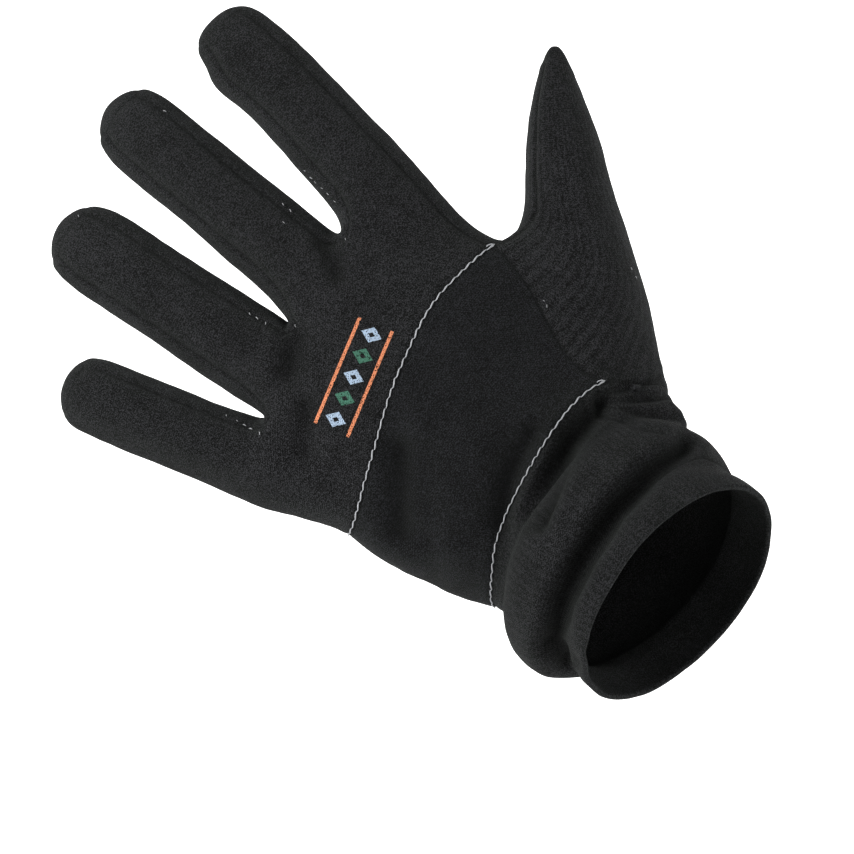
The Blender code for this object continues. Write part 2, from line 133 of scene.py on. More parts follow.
# From the cuff's seam to the crotches: how far up towards the next line, the reach to each
# side as shares of the hand's reach there, how far the first and last points of the back
# stand in from the edges as a share of the inset at the wrist, and the depth to each side
HandRow = namedtuple("HandRow", "up ulnar radial inset dorsal palmar")
SEAM_TO_STITCH = (
    HandRow(0.00, 0.690, 0.950, 1.00, 0.98, 1.04),
    HandRow(0.25, 0.795, 0.850, 0.90, 0.97, 1.02),
    HandRow(0.50, 0.820, 0.900, 0.60, 0.90, 0.95),
    HandRow(0.75, 0.860, 0.980, 0.40, 0.81, 0.85),
)
STITCH_TO_CROTCH = (
    HandRow(0.00, 0.855, 1.035, 0.45, 0.73, 0.76),
    HandRow(0.33, 0.902, 0.975, 0.30, 0.66, 0.68),
    HandRow(0.67, 0.957, 0.980, 0.30, 0.60, 0.61),
)

# Along a finger, as shares of its length, half width and half depth. The index finger's
# tip is slack, and folds over towards the middle finger.
FingerRow = namedtuple("FingerRow", "along ulnar radial deep")
FINGER_ROWS = (
    FingerRow(0.10, 1.03, 1.03, 0.98),
    FingerRow(0.28, 1.00, 1.00, 0.93),
    FingerRow(0.48, 0.98, 0.98, 0.88),
    FingerRow(0.68, 0.99, 0.99, 0.84),
    FingerRow(0.86, 1.00, 1.00, 0.75),
    FingerRow(0.955, 0.80, 0.80, 0.56),
)
INDEX_ROWS = (
    FingerRow(0.10, 1.03, 1.10, 0.98),
    FingerRow(0.28, 1.02, 1.02, 0.93),
    FingerRow(0.48, 0.99, 0.99, 0.88),
    FingerRow(0.67, 1.02, 0.96, 0.84),
    FingerRow(0.79, 1.26, 0.86, 0.80),
    FingerRow(0.87, 1.00, 0.81, 0.72),
    FingerRow(0.965, 0.95, 0.66, 0.56),
)

# Dents in the back of the hand, each a soft furrow between two places given as shares of
# the hand's width from the ulnar edge and of the palm's length, with its depth and half
# width as shares of the hand's half depth at the heel
Dent = namedtuple("Dent", "across_from up_from across_to up_to deep wide")
DENTS = (
    Dent(0.685, 1.000, 0.638, 0.940, 0.07, 0.20),
    Dent(0.433, 0.910, 0.331, 0.860, 0.07, 0.20),
    Dent(0.294, 0.766, 0.196, 0.689, 0.05, 0.22),
    Dent(0.368, 0.476, 0.191, 0.329, 0.07, 0.20),
    Dent(0.564, 0.235, 0.377, 0.130, 0.06, 0.22),
)

# Along the thumb, as shares of its length, half width and half depth, at the side
# towards the index finger (web) and at the outer side
ThumbRow = namedtuple("ThumbRow", "web_along web outer_along outer deep")
THUMB_ROWS = (
    ThumbRow(0.380, 0.690, -0.110, 1.175, 1.02),
    ThumbRow(0.460, 0.620, 0.129, 0.985, 0.86),
    ThumbRow(0.565, 0.580, 0.348, 0.806, 0.77),
    ThumbRow(0.684, 0.500, 0.555, 0.643, 0.72),
    ThumbRow(0.800, 0.400, 0.723, 0.520, 0.64),
    ThumbRow(0.903, 0.260, 0.852, 0.360, 0.50),
    ThumbRow(0.961, 0.150, 0.929, 0.255, 0.34),
)
THUMB_SPREAD_POINTS = (CORNER_WIDE + 0.1, 0.45, 0.0, -0.45, -CORNER_WIDE - 0.1)
THUMB_ARCH = (0.66, 0.97, 1.04, 0.97, 0.66)

# The knit's width round the side of a finger, and its place at each of the twelve points
# of a ring round the thumb, and up to the ring's end
SIDE_WALES = 0.009
THUMB_WALES = (0, .0075, .016, .0245, .032, .041, .050, .0575, .066, .0745, .082, .091, .100)
THUMB_CAP_COURSES = 0.006

# The panels, in the order of the skin's material numbers
PANELS = (
    "cuff_hem", "cuff", "back_of_hand", "back_of_fingers", "palm", "thumb_back", "thumb_front",
    "side_strip_ring_little", "side_strip_middle_ring", "side_strip_index_middle",
)
PANEL_NUMBER = {name: number for number, name in enumerate(PANELS)}
SIDE_STRIPS = PANELS[7:]
RIB_PANELS = PANELS[:2]

# Folds in the back of the glove: the path each one takes, as X and Z in millimetres, its
# depth and its half width
Fold = namedtuple("Fold", "path deep wide")
FOLDS = (
    Fold(((25, 50.2), (12.8, 51.0), (0.2, 48.1), (-11.8, 44.4)), 3.4, 2.9),
    Fold(((33, 24.5), (20, 28.0), (5, 29.3), (-12, 27.8), (-25, 24.5), (-37, 18.6), (-39, 11.4)),
         4.2, 3.0),
    Fold(((-21, 88.2), (-30, 80.8), (-40, 73.3)), 1.2, 4.5),
    Fold(((-16, 82.0), (-37, 65.2)), 1.0, 4.0),
    Fold(((7.5, 60.5), (-7.5, 56.9), (-19, 51.0)), 1.5, 2.8),
    Fold(((-42, 58.5), (-46, 56.5)), 1.0, 3.5),
    Fold(((13, 144.6), (8, 136.7)), 0.8, 2.6),
    Fold(((-14, 135.1), (-25, 128.6)), 0.8, 3.0),
    Fold(((-29, 118.0), (-39, 110.0)), 0.9, 3.0),
    Fold(((27, 52.0), (34, 43.5), (42, 36.0)), 1.6, 1.2),
    Fold(((26.5, 51.0), (31.5, 41.0), (38, 29.5)), 1.5, 1.2),
    Fold(((28, 52.5), (38, 45.5), (46, 41.0)), 1.2, 1.2),
    Fold(((25, 50.0), (27.5, 41.0), (31, 31.5)), 1.3, 1.1),
)

# How a fold fades where the skin turns away from the back, and the ridges that stand beside
# it, as a share of its depth
BACK_FADE = 0.45
FOLD_RIDGE = 0.25

# The waves of the worn knit: the size of the large and small ones, and the small ones' share
LARGE_WAVE = 0.014
SMALL_WAVE = 0.0045
SMALL_WAVE_SHARE = 0.4

# A seam: the size of its puckers, how near a fingertip it starts to fade and how much is
# left there, and the low ridge beside it, with its share of the depth, place and half width
PUCKER_SIZE = 0.0035
TIP_FADE = 0.008
TIP_SEAM = 0.12
SEAM_RIDGE = (0.35, 0.0024, 0.0012)

# The shade in a fold, full at this depth, and along a seam, with its half width
FOLD_SHADE = 0.75
FULL_SHADE_DEPTH = 0.0030
SEAM_SHADE = 0.6
SEAM_SHADE_WIDTH = 0.0006

# The small light stitches that show beside the finger crotches, on the thumb and near two
# fingertips, as X and Z in millimetres
CROTCH_STITCHES = (
    (26.0, 163.0), (25.5, 160.3), (25.5, 158.4), (25.2, 155.8), (25.1, 153.0), (24.4, 150.1),
    (17.5, 139.8), (13.5, 161.6), (13.3, 158.4), (9.6, 158.0), (-18.2, 149.0), (-17.6, 146.4),
    (-17.1, 143.3), (-11.5, 135.9), (-46.1, 134.6), (-45.3, 131.7), (-44.7, 129.1),
    (-44.5, 126.5), (-43.5, 123.8), (64.5, 68.6), (62.9, 66.0), (40.1, 83.2), (39.5, 81.5),
    (13.3, 206.4), (-27.6, 207.4),
)

# The printed band on the back: its middle, slope, size, half a bar's thickness and the step
# of its diamonds, a diamond's half width and that of the hole in it as shares of the step,
# its flatness, how much of the knit's fibres it leaves bare and how well it covers the rest
PRINT_CENTRE = (-0.0130, 0.1125)
PRINT_SLOPE = 16.0
PRINT_LENGTH = 0.034
PRINT_HEIGHT = 0.0105
PRINT_BAR = 0.0005
PRINT_STEP = 0.0068
DIAMOND_HALF = 0.36
DIAMOND_HOLE = 0.12
DIAMOND_FLAT = 0.75
PRINT_WEAR = 0.40
PRINT_COVER = 0.85

# The knit's finish: the scale of its wavering rows, loose fibres and darker patches, how
# far wales and courses waver, how far a loop's legs lean in courses, and the wales in a rib
WAVER_SCALE = 260.0
FIBRE_SCALE = 2700.0
PATCH_SCALE = 90.0
WALE_WAVER = 0.0005
COURSE_WAVER = 0.0003
LOOP_LEAN = 0.85
WALES_PER_RIB = 3.0

# How high loops and fibres stand, as shares of the bump's height, and that height
LOOP_HEIGHT = 0.8
FIBRE_HEIGHT = 0.9
KNIT_BUMP = 0.00035

# How much loops, fibres, patches and creases lighten or darken the knit, the loops and creases
# as painted shade, between a dark and a light shade of its colour, and its roughness where there
# are no fibres and only fibres
LOOP_PAINTED_SHADE = 0.65
FIBRE_CONTRAST = 4.7
PATCH_CONTRAST = 0.6
CREASE_PAINTED_SHADE = 0.9
DARK_SHADE = 0.10
LIGHT_SHADE = 3.0
KNIT_ROUGHNESS = (0.82, 0.98)
KNIT_SHEEN = (0.60, 0.68, 0.60, 1.0)

# The thread's finish: the scale of its fibres, its dark and light shade, and its bump
THREAD_FIBRE_SCALE = 3200.0
THREAD_SHADES = (0.55, 1.15)
THREAD_BUMP = 0.0001

# A stitch of the seams: its rise as a share of its length, how far it sinks into the knit
# as a share of the thread's thickness, and its places along as shares of its length, aside
# as shares of its rise, high as shares of the thickness, with the radius there
STITCH_RISE = 0.052
STITCH_SINK = 0.15
STITCH_PLACES = (
    (-0.50, 0.0, 0.00, 0.36), (-0.43, -0.5, 0.08, 0.38), (-0.34, -1.0, 0.26, 0.44),
    (-0.18, -0.6, 0.45, 0.53), (0.00, 0.0, 0.52, 0.57), (0.18, 0.6, 0.45, 0.53),
    (0.34, 1.0, 0.26, 0.44), (0.43, 0.5, 0.08, 0.38), (0.50, 0.0, 0.00, 0.36),
)

# A short stitch: its length, how thin its thread is, which way it lies, and its places,
# heights and radii
SHORT_LENGTH = 0.0008
SHORT_THIN = 0.45
SHORT_ALONG = (0.35, 0.0, 1.0)
SHORT_PLACES = (
    (-0.5, -0.6, 0.30), (-0.35, 0.1, 0.5), (0.0, 0.35, 0.55), (0.35, 0.1, 0.5), (0.5, -0.6, 0.30),
)

# The loop at a seam's end: its size, how far it stands off the knit, its radius as a share
# of the thread's thickness, and its places along, aside and high
END_LOOP_SIZE = 0.00075
END_LOOP_LIFT = 0.0002
END_LOOP_RADIUS = 0.42
END_LOOP_PLACES = (
    (0.5, 0.0, 0.1), (0.0, 0.1, 0.6), (-0.7, 0.3, 0.9), (-1.3, 0.2, 0.8), (-1.5, -0.4, 0.9),
    (-1.0, -0.9, 1.0), (-0.2, -1.1, 0.9), (0.5, -1.3, 0.7), (1.1, -1.2, 0.2),
)
THREAD_SIDES = 8

# Where a seam counts as lying on the back: its normal leans this far to the back
BACK_LEAN = -0.15

# How far the thumb's seam runs in over the back, at rings counted from the cuff's seam
THUMB_SEAM_SLIDE = ((-2, 0.25), (-1, 0.6), (0, 1.0), (1, 0.45), (2, 0.15))

# The ring's points that the seam takes with it, and the share of a gap that each one moves
SLIDING_POINTS = ((8, 0.80), (7, 0.55), (6, 0.35), (5, 0.15))

# The camera: what it is aimed at, how far off it stands, how wide it sees there, and how
# far the glove is turned in the picture
CAMERA_AIM = (-0.0108, 0.0417, 0.0863)
CAMERA_DISTANCE = 1.2
VIEW_WIDTH = 0.2562
CAMERA_TURN = 39.0

# Points of a ring round the hand: 9 over the back from the ulnar edge, 1 at the thumb
# side, 9 over the palm back again and 1 at the ulnar edge
BACK_POINTS = 9
RADIAL_POINT = 9
ULNAR_POINT = 19
RING_POINTS = 20


def between(a, b, share):
    """The value that lies this share of the way from a to b."""
    return a + (b - a) * share


def mid_reach(corner):
    """Where the point between two corners stands, so that the smooth skin passes through 1."""
    return (3 - corner) / 2


def middle_line(s):
    """(centre, direction of the back) at a distance s along the middle of the glove."""
    turned = min(max((s - CUFF_STRAIGHT) / WRIST_BEND_RADIUS, 0), CUFF_LEAN)
    lean = CUFF_LEAN - turned
    straight = min(s, CUFF_STRAIGHT)
    beyond = max(s - CUFF_STRAIGHT - CUFF_LEAN * WRIST_BEND_RADIUS, 0)
    y = straight * math.sin(CUFF_LEAN) + WRIST_BEND_RADIUS * (math.cos(lean) - math.cos(CUFF_LEAN))
    z = straight * math.cos(CUFF_LEAN) + WRIST_BEND_RADIUS * (math.sin(CUFF_LEAN) - math.sin(lean))
    return Vector((0, y, z + beyond)), Vector((0, -math.cos(lean), math.sin(lean)))


def skin_point(x, s, height):
    """The point at x across, s along and this height towards the back of the hand."""
    centre, back = middle_line(s)
    return centre + Vector((x, 0, 0)) + back * height


def knuckle_bounds():
    """x of the ulnar edge, the three crotches and the thumb side, at the knuckles."""
    bounds = [-ULNAR_REACH]
    for finger in FINGERS:
        bounds.append(bounds[-1] + finger.spacing)
    return bounds


def across_shares():
    """Where the nine points over the back stand, from 0 at the ulnar edge to 1."""
    bounds = knuckle_bounds()
    whole = bounds[-1] - bounds[0]
    shares = []
    for low, high in zip(bounds, bounds[1:]):
        shares += [(low - bounds[0]) / whole, ((low + high) / 2 - bounds[0]) / whole]
    return shares + [1.0]


def spread_line(line):
    """How far up each point of half a ring lies: nine over the hand, between the edges."""
    inner = line[1:-1]
    values = []
    for low, high in zip(inner, inner[1:]):
        values += [low, (low + high) / 2]
    return values + [inner[-1]]


def ring_line(back_line, palm_line):
    """How far up each of the twenty points of a ring lies, as shares of the palm's length."""
    radial = (back_line.radial_edge + palm_line.radial_edge) / 2
    ulnar = (back_line.ulnar_edge + palm_line.ulnar_edge) / 2
    return spread_line(back_line) + [radial] + spread_line(palm_line)[::-1] + [ulnar]


def blend_lines(a, b, share):
    """The line that lies this share of the way from line a to line b."""
    return HandLine(*(between(p, q, share) for p, q in zip(a, b)))


def arch(share):
    """Height of the back over the hand's width, from 0 to 1, flat in the middle."""
    return (1 - abs(2 * share - 1) ** 2.6) ** (1 / 2.6)


def cuff_reach(row):
    """Distances along the glove of the points of one row of the cuff, which slants more the
    nearer the hand."""
    slants = ring_line(CUFF_SEAM_BACK, CUFF_SEAM_PALM)
    return [row.along * CUFF_LENGTH + slant * PALM_LENGTH * row.along ** 3 for slant in slants]


def cuff_ring(row):
    """The ring of points at one row of the cuff."""
    tight = 3 / (2 + math.cos(2 * math.pi / RING_POINTS))
    ring = []
    for j, s in enumerate(cuff_reach(row)):
        angle = math.pi - 2 * math.pi * (j + 1) / RING_POINTS
        side = row.ulnar if math.cos(angle) < 0 else row.radial
        depth = row.dorsal if math.sin(angle) > 0 else row.palmar
        x = CUFF_HALF_WIDTH * side * tight * math.cos(angle)
        height = CUFF_HALF_DEPTH * depth * tight * math.sin(angle)
        ring.append(skin_point(x, s, height))
    return ring


def hand_ring(row, back_line, palm_line):
    """The ring of points at one row of the hand, on two lines given as palm shares."""
    low, high = -ULNAR_REACH * row.ulnar, knuckle_bounds()[-1] * row.radial
    inset = WRIST_EDGE_INSET * row.inset
    across = [between(low + inset, high - inset, share) for share in across_shares()]
    arches = [HEEL_HALF_DEPTH * arch(between(0.06, 0.94, share)) for share in across_shares()]
    x = across + [high] + across[::-1] + [low]
    heights = [h * row.dorsal for h in arches] + [0] + [-h * row.palmar for h in arches[::-1]] + [0]
    line = ring_line(back_line, palm_line)
    return [skin_point(*place) for place in zip(x, along_hand(line), heights)]


def knuckle_ring():
    """The ring at the finger crotches, pinched between the fingers."""
    bounds = knuckle_bounds()
    inset = KNUCKLE_EDGE_INSET
    across = [between(bounds[0], bounds[-1], share) for share in across_shares()]
    across[0] += inset / 2
    across[-1] -= inset / 2
    corner, middle = CORNER_DEEP, mid_reach(CORNER_DEEP)
    high = [KNUCKLE_HALF_DEPTH * (middle if j % 2 else corner) for j in range(BACK_POINTS)]
    x = across + [bounds[-1] + inset / 4] + across[::-1] + [bounds[0] - inset / 4]
    heights = high + [0] + [-h for h in high] + [0]
    line = along_hand(ring_line(CROTCHES, CROTCHES))
    return [skin_point(*place) for place in zip(x, line, heights)]


def along_hand(shares):
    """Distances along the glove of these shares of the palm's length."""
    return [CUFF_LENGTH + PALM_LENGTH * share for share in shares]


def wales_round_hand():
    """Where the knit's wales start at each of the twenty points of a ring, and its end."""
    bounds = knuckle_bounds()
    whole = bounds[-1] - bounds[0]
    across = [share * whole for share in across_shares()]
    edge = SIDE_WALES
    palm = [2 * whole + 2 * edge - u for u in across[::-1]]
    return across + [whole + edge] + palm + [2 * whole + 3 * edge, 2 * whole + 4 * edge]


class Cage:
    """Points and four-sided faces, each with its panel and its place in the knit."""

    def __init__(self):
        self.points = []
        self.faces = []
        self.panels = []
        self.knit = []
        self.tips = []

    def ring(self, points):
        first = len(self.points)
        self.points += points
        return list(range(first, len(self.points)))

    def face(self, corners, panel, knit):
        self.faces.append(corners)
        self.panels.append(PANEL_NUMBER[panel])
        self.knit += knit

    def wall(self, low, high, panels, wales, low_courses, high_courses):
        """Faces between two rings, with the panel of each, or None to leave a hole."""
        for j, panel in enumerate(panels):
            k = (j + 1) % len(low)
            if panel:
                a, b = wales[j]
                knit = [(a, low_courses[j]), (b, low_courses[k]),
                        (b, high_courses[k]), (a, high_courses[j])]
                self.face((low[j], low[k], high[k], high[j]), panel, knit)


def finger_panels(number):
    """The panels round a finger: two faces each for the back, the thumb side, the palm
    and the ulnar side."""
    radial = [SIDE_STRIPS[number]] * 2 if number < len(SIDE_STRIPS) else ["palm"] * 2
    ulnar = [SIDE_STRIPS[number - 1]] * 2 if number > 0 else ["palm", "back_of_fingers"]
    return ["back_of_fingers"] * 2 + radial + ["palm"] * 2 + ulnar


def finger_point(finger, root, along, x, height):
    """A point of a finger, by its distance past the knuckles, across and up."""
    lean = math.radians(finger.lean)
    droop = FINGER_DROOP * (along / finger.length) ** 2
    out = Vector((math.sin(lean), 0, math.cos(lean)))
    side = Vector((math.cos(lean), 0, -math.sin(lean)))
    return root + out * along + side * x + Vector((0, droop - height, 0))


def add_finger(cage, number, root_ring):
    """A finger's rings and its closed tip, on eight points of the knuckle ring."""
    finger = FINGERS[number]
    rows = INDEX_ROWS if finger.name == "index" else FINGER_ROWS
    bounds = knuckle_bounds()
    share = (CROTCHES[number + 1] + CROTCHES[number + 2]) / 2
    middle = (bounds[number] + bounds[number + 1]) / 2 + finger.aside
    root_s = CUFF_LENGTH + PALM_LENGTH * share
    root = skin_point(middle, root_s, 0)
    wide, deep = mid_reach(CORNER_WIDE), mid_reach(CORNER_DEEP)
    outline = (
        (-CORNER_WIDE, CORNER_DEEP), (0, deep), (CORNER_WIDE, CORNER_DEEP), (wide, 0),
        (CORNER_WIDE, -CORNER_DEEP), (0, -deep), (-CORNER_WIDE, -CORNER_DEEP), (-wide, 0),
    )
    turn, first, side = wales_round_hand(), 2 * number, SIDE_WALES
    left, right = turn[18 - first], turn[first + 2]
    wales = [
        (turn[first], turn[first + 1]), (turn[first + 1], right), (right, right + side),
        (right + side, right + 2 * side), (turn[16 - first], turn[17 - first]),
        (turn[17 - first], left), (left, left + side), (left + side, left + 2 * side),
    ]
    line = along_hand(spread_line(CROTCHES))[first:first + 3]
    ring, courses = root_ring, line + [line[2]] + line[::-1] + [line[0]]
    for row in rows:
        points = []
        for x, height in outline:
            wide = finger.width / 2 * (row.radial if x > 0 else row.ulnar)
            shift = finger.width / 4 * (row.radial - row.ulnar) * (x == 0)
            points.append(finger_point(finger, root, row.along * finger.length, wide * x + shift,
                                       finger.depth / 2 * row.deep * height))
        above, above_courses = cage.ring(points), [root_s + row.along * finger.length] * 8
        cage.wall(ring, above, finger_panels(number), wales, courses, above_courses)
        ring, courses = above, above_courses
    last = rows[-1]
    tip_along = finger.length * (1 + FINGER_TIP_REACH * (1 - last.along))
    aside = finger.width / 4 * (last.radial - last.ulnar)
    tip = cage.ring([finger_point(finger, root, tip_along, aside, 0)])[0]
    cage.tips.append(cage.points[tip])
    low, high = courses[0], courses[0] + side
    back, palm = turn[first:first + 3], [turn[18 - first], turn[17 - first], turn[16 - first]]
    caps = (
        ((0, 1, tip, 7), ((back[0], low), (back[1], low), (back[1], high), (back[0], high))),
        ((1, 2, 3, tip), ((back[1], low), (back[2], low), (back[2], high), (back[1], high))),
        ((tip, 3, 4, 5), ((palm[1], high), (palm[2], high), (palm[2], low), (palm[1], low))),
        ((7, tip, 5, 6), ((palm[0], high), (palm[1], high), (palm[1], low), (palm[0], low))),
    )
    for corners, knit in caps:
        cage.face(tuple(ring[c] if c < 8 else c for c in corners), "palm", list(knit))


def thumb_point(along, across, height):
    """A point of the thumb, by its distance out from the root, across and up."""
    out = Vector((math.sin(THUMB_SPREAD), 0, math.cos(THUMB_SPREAD)))
    outer = Vector((math.cos(THUMB_SPREAD), 0, -math.sin(THUMB_SPREAD)))
    root_s = CUFF_LENGTH + PALM_LENGTH * THUMB_ROOT_UP
    root = skin_point(THUMB_ROOT_OUT * knuckle_bounds()[-1], root_s, 0)
    return root + out * along + outer * across + Vector((0, THUMB_TOWARDS_PALM - height, 0))


def thumb_ring(row):
    """Five points over the back from the web outwards, the outer side, five points over
    the palm side and the web side, each with its distance along the thumb."""
    edge = mid_reach(THUMB_SPREAD_POINTS[0])
    places = list(zip(THUMB_SPREAD_POINTS, THUMB_ARCH)) + [(-edge, 0)]
    places += [(share, -high) for share, high in zip(THUMB_SPREAD_POINTS[::-1], THUMB_ARCH)]
    places.append((edge, 0))
    points, courses = [], []
    for share, height in places:
        along = between(row.outer_along, row.web_along, (share + 1) / 2) * THUMB_LENGTH
        across = between(row.outer, -row.web, (share + 1) / 2) * THUMB_HALF_WIDTH
        points.append(thumb_point(along, across, height * row.deep * THUMB_HALF_DEPTH))
        courses.append(along)
    return points, courses


def add_thumb(cage, root_ring):
    """The thumb's rings and its closed tip, on the twelve points round the thumb hole."""
    panels = ["thumb_back"] * 6 + ["thumb_front"] * 6
    wales = list(zip(THUMB_WALES, THUMB_WALES[1:]))
    first_points, first_courses = thumb_ring(THUMB_ROWS[0])
    ring = root_ring
    courses = [
        v - (cage.points[corner] - point).length
        for v, corner, point in zip(first_courses, root_ring, first_points)
    ]
    for row in THUMB_ROWS:
        points, above_courses = thumb_ring(row)
        above = cage.ring(points)
        cage.wall(ring, above, panels, wales, courses, above_courses)
        ring, courses = above, above_courses
    last = THUMB_ROWS[-1]
    rest = 1 - (last.web_along + last.outer_along) / 2
    middle = (last.outer - last.web) / 2 * THUMB_HALF_WIDTH
    half = (last.outer + last.web) / 2 * THUMB_HALF_WIDTH
    tip = cage.ring([
        thumb_point(THUMB_LENGTH * (1 + THUMB_TIP_REACH * rest),
                    middle - share * half * THUMB_TIP_SPREAD, 0)
        for share in THUMB_SPREAD_POINTS[1:4]
    ])
    low, high = courses[0], courses[0] + THUMB_CAP_COURSES
    for j in range(4):
        inner = ([ring[11]] + tip + [ring[5]])[j:j + 2]
        a, b = wales[j]
        cage.face((ring[j], ring[j + 1], inner[1], inner[0]), "thumb_back",
                  [(a, low), (b, low), (b, high), (a, high)])
        b, a = wales[9 - j]
        cage.face((inner[0], inner[1], ring[9 - j], ring[10 - j]), "thumb_front",
                  [(a, high), (b, high), (b, low), (a, low)])


def slide_back(cage, ring, share):
    """Moves the last points of a ring's back along the ring, away from the thumb."""
    old = [cage.points[corner] for corner in ring]
    for j, step in SLIDING_POINTS:
        cage.points[ring[j]] = between(old[j], old[j - 1], step * share)


def glove_cage():
    """The cage of the whole glove."""
    cage = Cage()
    turn = wales_round_hand()
    wales = list(zip(turn, turn[1:]))
    rings = [(cage.ring(cuff_ring(row)), cuff_reach(row)) for row in CUFF_ROWS]
    cuff = len(rings)
    for row in SEAM_TO_STITCH:
        back = blend_lines(CUFF_SEAM_BACK, KNUCKLE_STITCH, row.up)
        palm = blend_lines(CUFF_SEAM_PALM, KNUCKLE_STITCH, row.up)
        rings.append((cage.ring(hand_ring(row, back, palm)), along_hand(ring_line(back, palm))))
    for row in STITCH_TO_CROTCH:
        line = blend_lines(KNUCKLE_STITCH, CROTCHES, row.up)
        rings.append((cage.ring(hand_ring(row, line, line)), along_hand(ring_line(line, line))))
    rings.append((cage.ring(knuckle_ring()), along_hand(ring_line(CROTCHES, CROTCHES))))
    for number, share in THUMB_SEAM_SLIDE:
        slide_back(cage, rings[cuff + number][0], share)

    # Two faces at the thumb side are left out from the cuff's seam to the stitches
    stitch = cuff + len(SEAM_TO_STITCH)
    for number, ((low, low_courses), (high, high_courses)) in enumerate(zip(rings, rings[1:])):
        if number < cuff:
            panels = ["cuff_hem" if number < HEM_ROWS else "cuff"] * RING_POINTS
        else:
            back = "back_of_hand" if number < stitch else "back_of_fingers"
            side = None if number < stitch else "palm"
            panels = [back] * 8 + [side] * 2 + ["palm"] * 9 + [back]
        cage.wall(low, high, panels, wales, low_courses, high_courses)

    top = rings[-1][0]
    crotch_points = cage.ring([
        (cage.points[top[2 * k]] + cage.points[top[RING_POINTS - 2 - 2 * k]]) / 2 for k in (1, 2, 3)
    ])
    sides = [top[ULNAR_POINT]] + crotch_points + [top[RADIAL_POINT]]
    for number in range(len(FINGERS)):
        first = 2 * number
        back = top[first:first + 3]
        palm = [top[RING_POINTS - 2 - k] for k in (first + 2, first + 1, first)]
        add_finger(cage, number, back + [sides[number + 1]] + palm + [sides[number]])

    thumb_hole = [ring for ring, _ in rings[cuff:stitch + 1]]
    back_side = [ring[BACK_POINTS - 1] for ring in thumb_hole]
    palm_side = [ring[RADIAL_POINT + 1] for ring in thumb_hole]
    lower, upper = thumb_hole[0][RADIAL_POINT], thumb_hole[-1][RADIAL_POINT]
    add_thumb(cage, back_side[::-1] + [lower] + palm_side + [upper])
    return cage


# The fine skin


def new_object(name, points, faces, *materials):
    """An object with a mesh of these points and faces."""
    mesh = bpy.data.meshes.new(name)
    mesh.from_pydata([tuple(point) for point in points], [], faces)
    for material in materials:
        mesh.materials.append(material)
    made = bpy.data.objects.new(name, mesh)
    bpy.context.scene.collection.objects.link(made)
    return made


def fine_skin(levels):
    """The cage as a finely smoothed mesh, each face with its panel and place in the knit."""
    cage = glove_cage()
    holder = new_object("skin", cage.points, cage.faces)
    mesh = holder.data
    mesh.polygons.foreach_set("material_index", cage.panels)
    knit = mesh.uv_layers.new(name="knit")
    knit.data.foreach_set("uv", np.array(cage.knit, np.float32).ravel())
    smooth = holder.modifiers.new("smooth", "SUBSURF")
    smooth.levels = levels
    smooth.render_levels = levels
    graph = bpy.context.evaluated_depsgraph_get()
    skin = bpy.data.meshes.new_from_object(holder.evaluated_get(graph))
    bpy.data.objects.remove(holder)
    bpy.data.meshes.remove(mesh)
    return skin, cage.tips


def mesh_arrays(skin):
    """Points, corners, panels, knit places of the corners and normals of the fine skin."""
    count, faces = len(skin.vertices), len(skin.polygons)
    points = np.empty(count * 3, np.float32)
    skin.vertices.foreach_get("co", points)
    corners = np.empty(faces * 4, np.int32)
    skin.loops.foreach_get("vertex_index", corners)
    panels = np.empty(faces, np.int32)
    skin.polygons.foreach_get("material_index", panels)
    knit = np.empty(faces * 8, np.float32)
    skin.uv_layers["knit"].data.foreach_get("uv", knit)
    points = points.reshape(-1, 3).astype(float)
    corners = corners.reshape(-1, 4)
    return points, corners, panels, knit.reshape(-1, 4, 2), point_normals(points, corners)


def point_normals(points, corners):
    """The skin's direction outwards at each point."""
    a, b, c, d = (points[corners[:, k]] for k in range(4))
    across = np.cross(c - a, d - b)
    normals = np.zeros_like(points)
    for k in range(4):
        np.add.at(normals, corners[:, k], across)
    return normals / np.maximum(np.linalg.norm(normals, axis=1), 1e-12)[:, None]


def path_distance(places, path):
    """How far each place is from a path, both in the plane of the hand."""
    nearest = np.full(len(places), np.inf)
    for start, end in zip(path, path[1:]):
        start, step = np.array(start), np.array(end) - np.array(start)
        share = np.clip((places - start) @ step / (step @ step), 0, 1)
        far = np.linalg.norm(places - start - share[:, None] * step, axis=1)
        nearest = np.minimum(nearest, far)
    return nearest


def furrows(points, normals, strength):
    """How deep each point is pressed in by the dents and folds of the back."""
    low, high = knuckle_bounds()[0], knuckle_bounds()[-1]
    back = np.clip(-normals[:, 1] / BACK_FADE, 0, 1)
    press = np.zeros(len(points))
    for dent in DENTS:
        ends = []
        for across, up in ((dent.across_from, dent.up_from), (dent.across_to, dent.up_to)):
            place = skin_point(between(low, high, across), CUFF_LENGTH + PALM_LENGTH * up, 0)
            ends.append((place.x, place.z))
        far = path_distance(points[:, [0, 2]], ends) / (dent.wide * HEEL_HALF_DEPTH)
        press += dent.deep * HEEL_HALF_DEPTH * np.exp(-far ** 2) * back
    for fold in FOLDS:
        far = path_distance(points[:, [0, 2]] * 1000, fold.path) / fold.wide
        shape = np.exp(-far ** 2) - FOLD_RIDGE * np.exp(-(far - 2) ** 2)
        press += strength * fold.deep / 1000 * shape * back
    return press


def unevenness(points, size, seed):
    """Soft random heights between -1 and 1, about this size in metres across."""
    shift = Vector((seed * 7.3, seed * 3.1, seed * 5.7))
    return np.array([noise.noise(Vector(p) / size + shift) for p in points])


